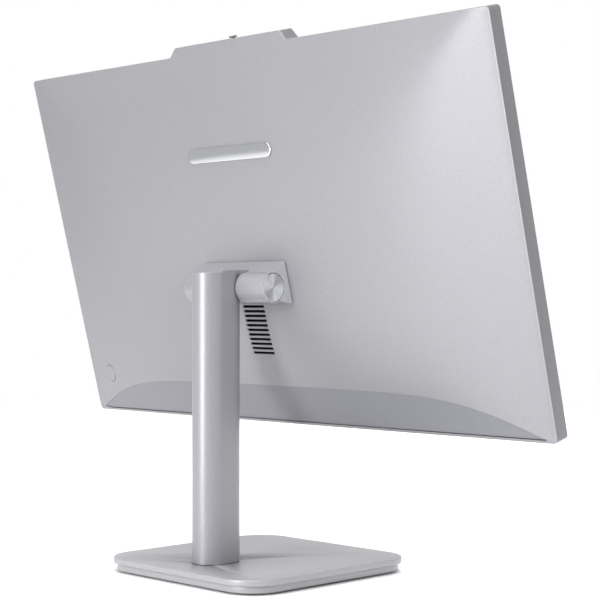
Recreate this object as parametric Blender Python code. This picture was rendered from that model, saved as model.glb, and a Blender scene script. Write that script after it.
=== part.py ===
"""All-in-one desktop computer on a tilting column stand.

Frame: metres, +Z up, origin on the desk under the centre of the base plate. The screen faces -Y, and +X is
to the right of someone who looks at the screen. The display is built in two frames of its own: tilt_axis,
whose origin lies on the hinge, and rim_frame, whose origin is the lower rear edge of the thin rim, with
+Y pointing out of the back and +Z running up the display.
"""

import math

import bmesh
import bpy
from mathutils import Vector

# ---- fits -----------------------------------------------------------------------------------------------
GAP = 0.0003  # between two pieces that touch
RUNNING_GAP = 0.0004  # round a piece that turns or slides
OVERSHOOT = 0.002  # how far a cutter runs past the wall that it cuts

# ---- display case ---------------------------------------------------------------------------------------
RIM_DEPTH = 0.013  # front to back, at the thin edge, without the rear cover's lip
FRAME_WALL = 0.002
COVER_WALL = 0.002
COVER_LIP = 0.0012  # straight edge of the rear cover before it swells
DOME_DEPTH = 0.0242  # how far the rear cover swells past its lip
DOME_EDGE_MARGIN = 0.0025  # flat strip between the case's edge and the swelling
DOME_PEAK_Z = 0.100  # height up the case where it is deepest
DOME_REACH_DOWN = 0.1098  # from that height down to where the swelling would reach zero
DOME_REACH_UP = 0.2265
DOME_POWER_DOWN = 1.95
DOME_POWER_UP = 2.94
DOME_SIDE_SLOPE = 0.23  # how steeply it falls to the case's sides
DOME_BLEND = 4.1  # how tightly the level middle turns into the falling sides
DOME_COLUMNS = 24
DOME_ROWS = 18
DOME_ROW_GROWTH = 1.25  # packs the rows towards the lower edge, where the curve is tighter
CHIN_HEIGHT = 0.039096  # up the case to the top of the chin's arch
CHIN_RECESS = 0.0008
CHIN_END_HEIGHT = 0.001  # of the chin's two blunt ends
CHIN_EDGE_STEPS = 36
CHIN_THICKNESS = 0.002

# ---- camera bump ----------------------------------------------------------------------------------------
BUMP_BASE_HALF_WIDTH = 0.0695
BUMP_TOP_HALF_WIDTH = 0.0635
BUMP_HEIGHT = 0.0078
BUMP_CORNER_RADIUS = 0.0015
BUMP_BACK_WALL = 0.002  # how far the cover's tongue reaches forward of the rim plane
LENS_RADIUS = 0.0032
LENS_LENGTH = 0.0045
WINDOW_HALF_WIDTH = 0.026
WINDOW_HEIGHT = 0.0066
WINDOW_THICKNESS = 0.0009
SHUTTER_TRAVEL = 0.008
SHUTTER_HALF_WIDTH = 0.0125
SHUTTER_HEIGHT = 0.0062
SHUTTER_THICKNESS = 0.0006
SHUTTER_HOLE_RADIUS = 0.0026
SHUTTER_TAB_WIDTH = 0.0042
SHUTTER_TAB_DEPTH = 0.005
SHUTTER_TAB_HEIGHT = 0.0016
SHUTTER_STEM_WIDTH = 0.003
SHUTTER_STEM_DEPTH = 0.0016

# ---- screen ---------------------------------------------------------------------------------------------
SCREEN_WIDTH = 0.527
SCREEN_HEIGHT = 0.2965
SIDE_BORDER = 0.007  # from the screen's edge to the case's, on each side
TOP_BORDER = 0.0065
BOTTOM_BORDER = 0.0163
GLASS_THICKNESS = 0.0012
BEZEL_THICKNESS = 0.0016
LCD_THICKNESS = 0.0075
LCD_MARGIN = 0.001
MID_PLATE_THICKNESS = 0.0008
MID_PLATE_MARGIN = 0.012

# ---- rear details ---------------------------------------------------------------------------------------
VENT_COUNT = 11
VENT_PITCH = 0.00403
VENT_SLOT_HEIGHT = 0.002
VENT_SLOT_WIDTH = 0.0256
VENT_TOP_Z = 0.1094
VENT_MESH_THICKNESS = 0.0008
BUTTON_RADIUS = 0.008
BUTTON_FROM_SIDE = 0.0373  # from the case's side to the button's centre
BUTTON_Z = 0.0396
BUTTON_THICKNESS = 0.0032
BUTTON_TRAVEL = 0.001
BADGE_WIDTH = 0.1
BADGE_HEIGHT = 0.012
BADGE_THICKNESS = 0.0012
BADGE_Z = 0.237
BOTTOM_SLOT_COUNT = 16
BOTTOM_SLOT_PITCH = 0.005
BOTTOM_SLOT_LENGTH = 0.007
BOTTOM_SLOT_WIDTH = 0.0016
SPEAKER_X = 0.165  # centre of each speaker and of the slots under it

# ---- hinge ----------------------------------------------------------------------------------------------
TILT = math.radians(14.57)  # lean of the display at rest
AXIS_ABOVE_RIM = 0.1298  # from the display's lower edge up to the hinge, along the display
AXIS_BEHIND_RIM = 0.0427  # from the rim plane back to the hinge
HOUSING_HALF_WIDTH = 0.0475
HOUSING_RADIUS = 0.0123
HOUSING_FLARE = math.radians(16.5)
HOUSING_NOTCH_FRONT = 0.0068  # the notch for the column stops this far in front of the axis
NOTCH_SIDE_GAP = 0.001
CAP_RADIUS = 0.0114
CAP_THICKNESS = 0.0016
CAP_SEAT_GAP = 0.0002
AXLE_RADIUS = 0.004
AXLE_END_MARGIN = 0.006
SPRING_BORE_RADIUS = 0.009
KNUCKLE_INNER_WALL = 0.006
DISC_COUNT = 5
DISC_RADIUS = 0.0078
DISC_THICKNESS = 0.0012
DISC_PITCH = 0.0016
NUT_RADIUS = 0.0068
NUT_THICKNESS = 0.0045
BOSS_RADIUS = 0.009
MOUNT_SCREW_RADIUS = 0.002
MOUNT_SCREW_HEAD_RADIUS = 0.0038
MOUNT_SCREW_HEAD_HEIGHT = 0.0022
MOUNT_SCREW_REACH = 0.004
MOUNT_PLATE_THICKNESS = 0.002

# ---- stand ----------------------------------------------------------------------------------------------
BASE_SIDE = 0.1866
BASE_CORNER_RADIUS = 0.031
BASE_EDGE_BEVEL = 0.0009
FOOT_HEIGHT = 0.0012
FOOT_RADIUS = 0.008
WEIGHT_THICKNESS = 0.0055
WEIGHT_INSET = 0.003
TOP_PLATE_THICKNESS = 0.0049
COLUMN_BEHIND_CENTRE = 0.0461  # from the base's centre back to the column's
COLUMN_HALF_WIDTH = 0.0145
COLUMN_FLAT_HALF = 0.0063  # half the flat side, front to back
COLUMN_WALL = 0.0022
COLUMN_ABOVE_AXIS = 0.012  # how far the column stands above the hinge
AXIS_HEIGHT = 0.2337  # of the hinge above the desk
AXIS_BEHIND_CENTRE = 0.0269  # from the base's centre back to the hinge
HEAD_DEPTH = 0.034  # how far the hinge head reaches down inside the column
FOOT_CASTING_HEIGHT = 0.03
BASE_SCREW_RADIUS = 0.0025
BASE_SCREW_HEAD_RADIUS = 0.0045
BASE_SCREW_HEAD_HEIGHT = 0.0025
BASE_SCREW_REACH = 0.012  # into the column's foot
BASE_SCREW_SPACING = 0.0115

# ---- electronics ----------------------------------------------------------------------------------------
BOARD_THICKNESS = 0.0016
BOARD_STANDOFF = 0.003
MAINBOARD_WIDTH = 0.15
MAINBOARD_HEIGHT = 0.135
MAINBOARD_X = 0.125
MAINBOARD_Z = 0.14
CPU_PLATE_SIDE = 0.044
CPU_PLATE_THICKNESS = 0.003
CPU_X = 0.09
CPU_Z = 0.15
HEAT_PIPE_RADIUS = 0.003
FIN_COUNT = 9
FIN_PITCH = 0.0046
FIN_THICKNESS = 0.0008
FIN_BLOCK_HALF_WIDTH = 0.015
FIN_BLOCK_DEPTH = 0.0115
FAN_SIDE = 0.062
FAN_DEPTH = 0.011
FAN_WALL = 0.0015
FAN_X = -0.052
FAN_Z = 0.088
ROTOR_RADIUS = 0.026
ROTOR_HUB_RADIUS = 0.011
ROTOR_BLADES = 11
ROTOR_BLADE_THICKNESS = 0.0012
SPEAKER_WIDTH = 0.08
SPEAKER_HEIGHT = 0.022
SPEAKER_DEPTH = 0.0085
SPEAKER_Z = 0.052
SOCKET_WALL = 0.0008
IO_BOARD_WIDTH = 0.056
IO_BOARD_HEIGHT = 0.016
IO_BOARD_THICKNESS = 0.001
IO_BOARD_RISE = 0.002  # of its middle above the middle of the rear sockets
IO_BOARD_X = 0.088
IO_BOARD_CLEARANCE = 0.000115  # to the plate ahead of it
CHIN_PORT_DROP = 0.0158  # from the top of the chin's arch down to the rear sockets' centres
CHIN_PORTS = {  # name: (centre across, width, height, tongue)
    "lan_socket": (0.0705, 0.0150, 0.0115, False),
    "hdmi_socket": (0.0895, 0.0152, 0.0058, True),
    "power_socket": (0.1055, 0.0110, 0.0054, False),
}
BOTTOM_SOCKET_Y = -0.0062  # centre of the downward sockets, ahead of the rim plane
USB_A_SIZE = (0.0141, 0.0062)
USB_A_X = (-0.118, -0.098)
USB_C_SIZE = (0.0098, 0.0040)
USB_C_X = -0.080
AUDIO_RADIUS = 0.0030
AUDIO_BORE_RADIUS = 0.0018
AUDIO_X = -0.066
BOTTOM_SOCKET_DEPTH = 0.0100

# ---- worked out from the sizes above --------------------------------------------------------------------
CASE_WIDTH = SCREEN_WIDTH + 2 * SIDE_BORDER
CASE_HEIGHT = SCREEN_HEIGHT + TOP_BORDER + BOTTOM_BORDER
CASE_HALF = CASE_WIDTH / 2
BUTTON_X = CASE_HALF - BUTTON_FROM_SIDE
DOME_HALF = CASE_HALF - DOME_EDGE_MARGIN
WEIGHT_BOTTOM = FOOT_HEIGHT + GAP
TOP_PLATE_BOTTOM = WEIGHT_BOTTOM + WEIGHT_THICKNESS + GAP
BASE_TOP = TOP_PLATE_BOTTOM + TOP_PLATE_THICKNESS
COLUMN_TOP = AXIS_HEIGHT + COLUMN_ABOVE_AXIS
CHIN_START = GAP / 2  # the chin's plane starts this far above the case's lower edge
CHIN_RISE = DOME_DEPTH * (1 - ((DOME_PEAK_Z - CHIN_HEIGHT) / DOME_REACH_DOWN) ** DOME_POWER_DOWN)
CHIN_SLOPE = math.atan2(CHIN_RISE, CHIN_HEIGHT - CHIN_START)  # lean of the chin from the plane of the display
LCD_FRONT = -RIM_DEPTH + BEZEL_THICKNESS + GAP
LCD_BACK = LCD_FRONT + LCD_THICKNESS
MID_PLATE_BACK = LCD_BACK + GAP + MID_PLATE_THICKNESS
BOARD_FRONT = MID_PLATE_BACK + BOARD_STANDOFF
BOARD_BACK = BOARD_FRONT + BOARD_THICKNESS
BOSS_HALF_WIDTH = COLUMN_HALF_WIDTH - COLUMN_WALL
NOTCH_HALF_WIDTH = COLUMN_HALF_WIDTH + NOTCH_SIDE_GAP
BUMP_MID_Z = CASE_HEIGHT + BUMP_HEIGHT / 2 - FRAME_WALL


# ---- scene helpers --------------------------------------------------------------------------------------
def clear_scene():
    """Remove every object that is there."""
    for item in list(bpy.data.objects):
        bpy.data.objects.remove(item)


def make_material(name, colour, roughness, metallic=0.0):
    """A plain Principled material."""
    made = bpy.data.materials.new(name)
    made.use_nodes = True
    shader = made.node_tree.nodes["Principled BSDF"]
    shader.inputs["Base Color"].default_value = (*colour, 1.0)
    shader.inputs["Roughness"].default_value = roughness
    shader.inputs["Metallic"].default_value = metallic
    return made


def make_empty(name, parent=None, location=(0, 0, 0), rotation=(0, 0, 0)):
    """A frame that pieces are placed in."""
    made = bpy.data.objects.new(name, None)
    bpy.context.scene.collection.objects.link(made)
    made.parent = parent
    made.location = location
    made.rotation_euler = rotation
    return made


def add_piece(name, mesh_data, parent, material, location=(0, 0, 0)):
    """Turn a bmesh into an object of the scene, with its faces pointing out."""
    bmesh.ops.recalc_face_normals(mesh_data, faces=mesh_data.faces)
    mesh = bpy.data.meshes.new(name)
    mesh_data.to_mesh(mesh)
    mesh_data.free()
    made = bpy.data.objects.new(name, mesh)
    bpy.context.scene.collection.objects.link(made)
    made.parent = parent
    made.location = location
    if material is not None:
        mesh.materials.append(material)
    mesh.shade_smooth()
    mesh.set_sharp_from_angle(angle=math.radians(30))
    return made


def cut(piece, mesh_data, location=(0, 0, 0), operation="DIFFERENCE", parent=None):
    """Cut piece, or join or intersect it, with a hidden solid in the same frame as piece."""
    number = len(piece.modifiers) + 1
    frame = parent if parent is not None else piece.parent
    cutter = add_piece(f"{piece.name}_cutter_{number}", mesh_data, frame, None, location)
    cutter.hide_render = True
    cutter.display_type = "WIRE"
    modifier = piece.modifiers.new(f"step_{number}", "BOOLEAN")
    modifier.object = cutter
    modifier.operation = operation
    modifier.solver = "EXACT"
    return piece


# ---- shapes ---------------------------------------------------------------------------------------------
def prism(outline, low, high, axis="Y"):
    """A closed outline of (first, second) points, extruded along an axis from low to high.

    The outline lies in X, Z for axis Y, in X, Y for axis Z and in Y, Z for axis X.
    """
    place = {
        "Y": lambda p, t: (p[0], t, p[1]),
        "Z": lambda p, t: (p[0], p[1], t),
        "X": lambda p, t: (t, p[0], p[1]),
    }[axis]
    shape = bmesh.new()
    near = [shape.verts.new(place(p, low)) for p in outline]
    far = [shape.verts.new(place(p, high)) for p in outline]
    shape.faces.new(near)
    shape.faces.new(far)
    for i in range(len(outline)):
        j = (i + 1) % len(outline)
        shape.faces.new((near[i], near[j], far[j], far[i]))
    bmesh.ops.recalc_face_normals(shape, faces=shape.faces)
    return shape


def box(size, centre=(0, 0, 0)):
    """A box of that size about a centre."""
    (w, d, h), (x, y, z) = size, centre
    outline = [(x - w / 2, y - d / 2), (x + w / 2, y - d / 2), (x + w / 2, y + d / 2), (x - w / 2, y + d / 2)]
    return prism(outline, z - h / 2, z + h / 2, "Z")


def circle(radius, sides, centre=(0.0, 0.0)):
    """Points round a circle."""
    turns = [2 * math.pi * (i + 0.5) / sides for i in range(sides)]
    return [(centre[0] + radius * math.cos(a), centre[1] + radius * math.sin(a)) for a in turns]


def rod(radius, low, high, axis="Y", sides=24, centre=(0.0, 0.0)):
    """A round rod along an axis."""
    return prism(circle(radius, sides, centre), low, high, axis)


def rounded(corners, radius, steps=3):
    """Round each corner of a polygon with an arc that touches both of its edges."""
    points = []
    count = len(corners)
    for i, corner in enumerate(corners):
        here = Vector(corner)
        back = (Vector(corners[i - 1]) - here).normalized()
        ahead = (Vector(corners[(i + 1) % count]) - here).normalized()
        half = math.acos(max(-1.0, min(1.0, back.dot(ahead)))) / 2
        centre = here + (back + ahead).normalized() * (radius / math.sin(half))
        start = here + back * (radius / math.tan(half)) - centre
        end = here + ahead * (radius / math.tan(half)) - centre
        sweep = math.pi - 2 * half
        for step in range(steps + 1):
            t = step / steps
            blend = start * math.sin((1 - t) * sweep) + end * math.sin(t * sweep)
            points.append(tuple(centre + blend / math.sin(sweep)))
    return points


def inset_polygon(corners, inset):
    """Move every edge of an anticlockwise polygon inwards by inset."""
    moved = []
    count = len(corners)
    for i in range(count):
        a, b, c = (Vector(corners[(i + k) % count]) for k in (-1, 0, 1))
        first, second = (b - a).normalized(), (c - b).normalized()
        first_in, second_in = Vector((-first.y, first.x)), Vector((-second.y, second.x))
        bisector = (first_in + second_in).normalized()
        moved.append(tuple(b + bisector * (inset / bisector.dot(first_in))))
    return moved


def rectangle(half_width, half_depth, centre=(0.0, 0.0)):
    """The corners of a rectangle, anticlockwise."""
    x, y = centre
    return [
        (x - half_width, y - half_depth),
        (x + half_width, y - half_depth),
        (x + half_width, y + half_depth),
        (x - half_width, y + half_depth),
    ]


def stadium(half_width, flat_half, centre_y, inset=0.0, steps=12):
    """The column's section: two half circles joined by flat sides, in X, Y."""
    radius = half_width - inset
    points = []
    for side, start in ((1, 0.0), (-1, math.pi)):
        for step in range(steps + 1):
            angle = start + math.pi * step / steps
            points.append((radius * math.cos(angle), centre_y + side * flat_half + radius * math.sin(angle)))
    return points


def case_outline(inset=0.0, steps=3):
    """The display's outline with the camera bump on top, in X, Z of rim_frame."""
    top, low, high = CASE_HEIGHT, BUMP_BASE_HALF_WIDTH, BUMP_TOP_HALF_WIDTH
    corners = [
        (-CASE_HALF, 0.0),
        (CASE_HALF, 0.0),
        (CASE_HALF, top),
        (low, top),
        (high, top + BUMP_HEIGHT),
        (-high, top + BUMP_HEIGHT),
        (-low, top),
        (-CASE_HALF, top),
    ]
    return rounded(inset_polygon(corners, inset), BUMP_CORNER_RADIUS, steps)


def bump_outline(grow=0.0, below=0.003):
    """The camera bump's outline, starting a little below the case's top edge."""
    corners = [
        (-BUMP_BASE_HALF_WIDTH, CASE_HEIGHT - below),
        (BUMP_BASE_HALF_WIDTH, CASE_HEIGHT - below),
        (BUMP_BASE_HALF_WIDTH, CASE_HEIGHT),
        (BUMP_TOP_HALF_WIDTH, CASE_HEIGHT + BUMP_HEIGHT),
        (-BUMP_TOP_HALF_WIDTH, CASE_HEIGHT + BUMP_HEIGHT),
        (-BUMP_BASE_HALF_WIDTH, CASE_HEIGHT),
    ]
    return inset_polygon(corners, -grow)


def dome(x, z):
    """How far the rear cover swells past its lip at a place on the back."""
    if z < DOME_PEAK_Z:
        fall = ((DOME_PEAK_Z - z) / DOME_REACH_DOWN) ** DOME_POWER_DOWN
    else:
        fall = ((z - DOME_PEAK_Z) / DOME_REACH_UP) ** DOME_POWER_UP
    level = DOME_DEPTH * (1 - fall)
    if level <= 0:
        return 0.0
    side = DOME_SIDE_SLOPE * max(0.0, DOME_HALF - abs(x)) / level
    middle = DOME_SIDE_SLOPE * DOME_HALF / level
    return level * blended(side) / blended(middle)


def blended(ratio):
    """A ratio that follows itself while it is small and levels off at 1."""
    return ratio / (1 + ratio**DOME_BLEND) ** (1 / DOME_BLEND)


def chin_edge(x):
    """How far up the sloping chin the swelling meets it, measured along the chin."""
    low, high = 0.0, DOME_PEAK_Z
    for _ in range(40):
        middle = (low + high) / 2
        if dome(x, middle) > (middle - CHIN_START) * math.tan(CHIN_SLOPE):
            low = middle
        else:
            high = middle
    return (low - CHIN_START) / math.cos(CHIN_SLOPE)


def chin_port_height():
    """How far up the chin the rear sockets' centres are."""
    return chin_edge(0.0) - CHIN_PORT_DROP


def socket_depth():
    """How deep the rear sockets are: they and their board fill the room behind the chin."""
    low = chin_port_height() + IO_BOARD_RISE - IO_BOARD_HEIGHT / 2
    room = COVER_LIP + low * math.sin(CHIN_SLOPE) - MID_PLATE_BACK - IO_BOARD_CLEARANCE
    return room / math.cos(CHIN_SLOPE) - CHIN_RECESS - GAP - IO_BOARD_THICKNESS


def chin_outline(inset):
    """The chin's outline in X, Z of chin_frame: a straight lower edge under an arched upper one."""
    low = (FRAME_WALL + GAP) / math.cos(CHIN_SLOPE)
    reach = DOME_HALF
    while chin_edge(reach) < low + CHIN_END_HEIGHT:
        reach -= 0.0005
    arch = []
    for i in range(CHIN_EDGE_STEPS + 1):
        x = reach * math.sin(math.pi * (0.5 - i / CHIN_EDGE_STEPS))
        arch.append((x, chin_edge(x)))
    return inset_polygon([(-reach, low), (reach, low), *arch], inset)


def dome_normal(x, z):
    """The outward direction of the swelling at a place."""
    step = 0.0005
    slope_x = (dome(x + step, z) - dome(x - step, z)) / (2 * step)
    slope_z = (dome(x, z + step) - dome(x, z - step)) / (2 * step)
    return Vector((-slope_x, 1.0, -slope_z)).normalized()


def pillow(side_inset, wall, bottom, top_inset=None):
    """A solid under the rear cover's swelling surface, sunk by wall, from its flat front at y = bottom."""
    top_inset = side_inset if top_inset is None else top_inset
    half = CASE_HALF - side_inset
    dome_half = DOME_HALF - side_inset
    spread = [math.sin(math.pi * (i / DOME_COLUMNS - 0.5)) * dome_half for i in range(DOME_COLUMNS + 1)]
    across = [-half, *spread, half]
    rise = CASE_HEIGHT - side_inset - top_inset
    along = [side_inset + rise * (i / DOME_ROWS) ** DOME_ROW_GROWTH for i in range(DOME_ROWS + 1)]
    shape = bmesh.new()

    def height(x, z):
        return COVER_LIP + dome(min(DOME_HALF, max(-DOME_HALF, x * DOME_HALF / dome_half)), z) - wall

    skin = [[shape.verts.new((x, height(x, z), z)) for z in along] for x in across]
    ends = (along[0], along[-1])
    floor = [[shape.verts.new((x, bottom, z)) for z in ends] for x in (across[0], across[-1])]
    for i in range(len(across) - 1):
        for j in range(len(along) - 1):
            shape.faces.new((skin[i][j], skin[i + 1][j], skin[i + 1][j + 1], skin[i][j + 1]))
    bmesh.ops.triangulate(shape, faces=shape.faces)
    low, high = [row[0] for row in skin], [row[-1] for row in skin]
    shape.faces.new([floor[0][0], *low, floor[1][0]])
    shape.faces.new([floor[0][1], *high, floor[1][1]])
    shape.faces.new([floor[0][0], *skin[0], floor[0][1]])
    shape.faces.new([floor[1][0], *skin[-1], floor[1][1]])
    shape.faces.new([floor[0][0], floor[0][1], floor[1][1], floor[1][0]])
    bmesh.ops.recalc_face_normals(shape, faces=shape.faces)
    return shape


def tongue():
    """The back wall of the camera bump, which carries the rear cover's slope on upwards."""
    shape = bmesh.new()
    seam_step = 0.00005  # keeps the tongue's skin under the cover's where they overlap
    rows = [
        (CASE_HEIGHT - 0.003, BUMP_BASE_HALF_WIDTH, seam_step),
        (CASE_HEIGHT, BUMP_BASE_HALF_WIDTH, seam_step),
        (CASE_HEIGHT + BUMP_HEIGHT, BUMP_TOP_HALF_WIDTH, 0.0),
    ]
    outer = []
    for z, half, sink in rows:
        depth = COVER_LIP + dome(0, z) - sink
        outer.append([shape.verts.new((side * half, depth, z)) for side in (-1, 1)])
    inner = [[shape.verts.new((s * half, -BUMP_BACK_WALL, z)) for s in (-1, 1)] for z, half, _ in rows]
    for i in range(len(rows) - 1):
        shape.faces.new((outer[i][0], outer[i][1], outer[i + 1][1], outer[i + 1][0]))
        shape.faces.new((inner[i][0], inner[i][1], inner[i + 1][1], inner[i + 1][0]))
        for s in (0, 1):
            shape.faces.new((outer[i][s], outer[i + 1][s], inner[i + 1][s], inner[i][s]))
    for i in (0, -1):
        shape.faces.new((outer[i][0], outer[i][1], inner[i][1], inner[i][0]))
    bmesh.ops.recalc_face_normals(shape, faces=shape.faces)
    return shape


def add_bevel(piece, width, segments=2, angle=40):
    """Round the sharp edges of a piece."""
    bevel = piece.modifiers.new("edge", "BEVEL")
    bevel.width = width
    bevel.segments = segments
    bevel.limit_method = "ANGLE"
    bevel.angle_limit = math.radians(angle)
    return piece


# ---- stand ----------------------------------------------------------------------------------------------
def base_outline(inset=0.0):
    """The base's rounded square, in X, Y."""
    corners = rectangle(BASE_SIDE / 2 - inset, BASE_SIDE / 2 - inset)
    return rounded(corners, BASE_CORNER_RADIUS - inset, 8)


def column_screw_places():
    """Where the screws come up through the base into the column's foot."""
    return [(0.0, COLUMN_BEHIND_CENTRE + side * BASE_SCREW_SPACING) for side in (-1, 1)]


def build_base(finish):
    """The two plates of the base and the rubber feet under them."""
    screw_clearance = BASE_SCREW_RADIUS + GAP
    top = add_piece(
        "base_top_plate", prism(base_outline(), TOP_PLATE_BOTTOM, BASE_TOP, "Z"), None, finish["painted"]
    )
    add_bevel(top, BASE_EDGE_BEVEL)
    weight = add_piece(
        "base_weight_plate",
        prism(base_outline(WEIGHT_INSET), WEIGHT_BOTTOM, WEIGHT_BOTTOM + WEIGHT_THICKNESS, "Z"),
        None,
        finish["painted"],
    )
    for place in column_screw_places():
        low, high = -OVERSHOOT, BASE_TOP + OVERSHOOT
        cut(top, rod(screw_clearance, low, high, "Z", 12, place))
        cut(weight, rod(screw_clearance, low, high, "Z", 12, place))
        head_room = WEIGHT_BOTTOM + BASE_SCREW_HEAD_HEIGHT + GAP
        cut(weight, rod(BASE_SCREW_HEAD_RADIUS + GAP, low, head_room, "Z", 16, place))
    reach = BASE_SIDE / 2 - BASE_CORNER_RADIUS
    places = [(sx * reach, sy * reach) for sy in (-1, 1) for sx in (-1, 1)]
    for number, place in enumerate(places, 1):
        pad = rod(FOOT_RADIUS, 0.0, FOOT_HEIGHT, "Z", 20, place)
        add_piece(f"rubber_foot_{number}", pad, None, finish["rubber"])


def build_column(finish):
    """The pill-shaped tube, the castings in its two ends and the screws that hold it to the base."""
    y = COLUMN_BEHIND_CENTRE
    bottom = BASE_TOP + GAP
    section = stadium(COLUMN_HALF_WIDTH, COLUMN_FLAT_HALF, y)
    hollow = stadium(COLUMN_HALF_WIDTH, COLUMN_FLAT_HALF, y, COLUMN_WALL)
    core = stadium(COLUMN_HALF_WIDTH, COLUMN_FLAT_HALF, y, COLUMN_WALL + GAP)
    tube = add_piece("column_tube", prism(section, bottom, COLUMN_TOP, "Z"), None, finish["painted"])
    cut(tube, prism(hollow, bottom - OVERSHOOT, COLUMN_TOP + OVERSHOOT, "Z"))
    slot_bottom = AXIS_HEIGHT - BOSS_RADIUS - GAP
    slot = rectangle(BOSS_HALF_WIDTH + GAP, 0.03, (0.0, y - 0.03))
    cut(tube, prism(slot, slot_bottom, COLUMN_TOP + OVERSHOOT, "Z"))

    casting = prism(core, bottom, bottom + FOOT_CASTING_HEIGHT, "Z")
    foot = add_piece("column_foot", casting, None, finish["casting"])
    for number, place in enumerate(column_screw_places(), 1):
        tip = bottom + BASE_SCREW_REACH
        cut(foot, rod(BASE_SCREW_RADIUS + GAP, bottom - OVERSHOOT, tip + GAP, "Z", 12, place))
        neck = WEIGHT_BOTTOM + BASE_SCREW_HEAD_HEIGHT - OVERSHOOT / 4
        shank = rod(BASE_SCREW_RADIUS, neck, tip, "Z", 12, place)
        head_top = WEIGHT_BOTTOM + BASE_SCREW_HEAD_HEIGHT
        head = rod(BASE_SCREW_HEAD_RADIUS, WEIGHT_BOTTOM, head_top, "Z", 16, place)
        cut(add_piece(f"column_screw_{number}", head, None, finish["steel"]), shank, operation="UNION")

    block = prism(core, COLUMN_TOP - HEAD_DEPTH, COLUMN_TOP, "Z")
    head = add_piece("hinge_head", block, None, finish["painted"])
    front = y - AXIS_BEHIND_CENTRE
    boss_neck = rectangle(BOSS_HALF_WIDTH, front / 2, (0.0, AXIS_BEHIND_CENTRE + front / 2))
    cut(head, prism(boss_neck, AXIS_HEIGHT - BOSS_RADIUS, AXIS_HEIGHT + BOSS_RADIUS, "Z"), operation="UNION")
    axis_place = (AXIS_BEHIND_CENTRE, AXIS_HEIGHT)
    cut(head, rod(BOSS_RADIUS, -BOSS_HALF_WIDTH, BOSS_HALF_WIDTH, "X", 28, axis_place), operation="UNION")
    reach = BOSS_HALF_WIDTH + OVERSHOOT
    cut(head, rod(AXLE_RADIUS + GAP, -reach, reach, "X", 16, axis_place))


def build_axle(finish):
    """The steel axle with its friction discs and end nuts, which stay with the column."""
    place = (AXIS_BEHIND_CENTRE, AXIS_HEIGHT)
    half = HOUSING_HALF_WIDTH - AXLE_END_MARGIN
    add_piece("hinge_axle", rod(AXLE_RADIUS, -half, half, "X", 16, place), None, finish["steel"])
    first = NOTCH_HALF_WIDTH + KNUCKLE_INNER_WALL + RUNNING_GAP
    nut_start = first + DISC_COUNT * DISC_PITCH
    for side, name in ((-1, "friction_pack_left"), (1, "friction_pack_right")):
        ends = [side * nut_start, side * (nut_start + NUT_THICKNESS)]
        pack = add_piece(name, rod(NUT_RADIUS, min(ends), max(ends), "X", 6, place), None, finish["steel"])
        ends = [side * first, side * (nut_start + NUT_THICKNESS / 2)]
        cut(pack, rod(DISC_RADIUS * 0.75, min(ends), max(ends), "X", 18, place), operation="UNION")
        for i in range(DISC_COUNT):
            low = first + i * DISC_PITCH
            ends = [side * low, side * (low + DISC_THICKNESS)]
            cut(pack, rod(DISC_RADIUS, min(ends), max(ends), "X", 24, place), operation="UNION")
        cut(pack, rod(AXLE_RADIUS + GAP, -HOUSING_HALF_WIDTH, HOUSING_HALF_WIDTH, "X", 16, place))


# ---- hinge housing --------------------------------------------------------------------------------------
def housing_profile():
    """The housing's side view about the hinge axis, in Y, Z: a round back that flares towards the display."""
    front = -(AXIS_BEHIND_RIM - COVER_LIP - DOME_DEPTH) + GAP
    points = []
    steps = 20
    for step in range(steps + 1):
        angle = math.radians(90) + HOUSING_FLARE - step / steps * (math.pi + 2 * HOUSING_FLARE)
        points.append((HOUSING_RADIUS * math.cos(angle), HOUSING_RADIUS * math.sin(angle)))
    rise = HOUSING_RADIUS / math.cos(HOUSING_FLARE) - front * math.tan(HOUSING_FLARE)
    return [(front, rise), *points, (front, -rise)]


def build_housing(finish, axis_frame):
    """The block that carries the display on the axle, with its turned end caps."""
    housing = add_piece(
        "hinge_housing",
        prism(housing_profile(), -HOUSING_HALF_WIDTH, HOUSING_HALF_WIDTH, "X"),
        axis_frame,
        finish["painted"],
    )
    notch_depth = HOUSING_NOTCH_FRONT + HOUSING_RADIUS + OVERSHOOT
    notch_centre = (0, notch_depth / 2 - HOUSING_NOTCH_FRONT, 0)
    cut(housing, box((2 * NOTCH_HALF_WIDTH, notch_depth, 5 * HOUSING_RADIUS), notch_centre))
    recess = NOTCH_HALF_WIDTH
    cut(housing, rod(BOSS_RADIUS + RUNNING_GAP, -recess, recess, "X", 28))
    through = HOUSING_HALF_WIDTH + OVERSHOOT
    cut(housing, rod(AXLE_RADIUS + GAP, -through, through, "X", 16))
    for side in (-1, 1):
        inner = side * (NOTCH_HALF_WIDTH + KNUCKLE_INNER_WALL)
        outer = side * through
        cut(housing, rod(SPRING_BORE_RADIUS, min(inner, outer), max(inner, outer), "X", 24))
        seat = side * (HOUSING_HALF_WIDTH - CAP_THICKNESS)
        cut(housing, rod(CAP_RADIUS + CAP_SEAT_GAP, min(seat, outer), max(seat, outer), "X", 32))
        name = "hinge_cap_right" if side > 0 else "hinge_cap_left"
        cap_inner = side * (HOUSING_HALF_WIDTH - CAP_THICKNESS + GAP)
        cap_outer = side * HOUSING_HALF_WIDTH
        add_piece(
            name, rod(CAP_RADIUS, min(cap_inner, cap_outer), max(cap_inner, cap_outer), "X", 32), axis_frame,
            finish["turned"],
        )


# ---- display case ---------------------------------------------------------------------------------------
def chin_sockets():
    """(name, centre across, width, height, tongue) of each rear socket."""
    return [(name, *values) for name, values in CHIN_PORTS.items()]


def bottom_sockets():
    """(centre across, width, depth) of each socket that opens downwards."""
    usb_a = [(x, *USB_A_SIZE) for x in USB_A_X]
    return [*usb_a, (USB_C_X, *USB_C_SIZE), (AUDIO_X, 2 * AUDIO_RADIUS, 2 * AUDIO_RADIUS)]


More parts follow.
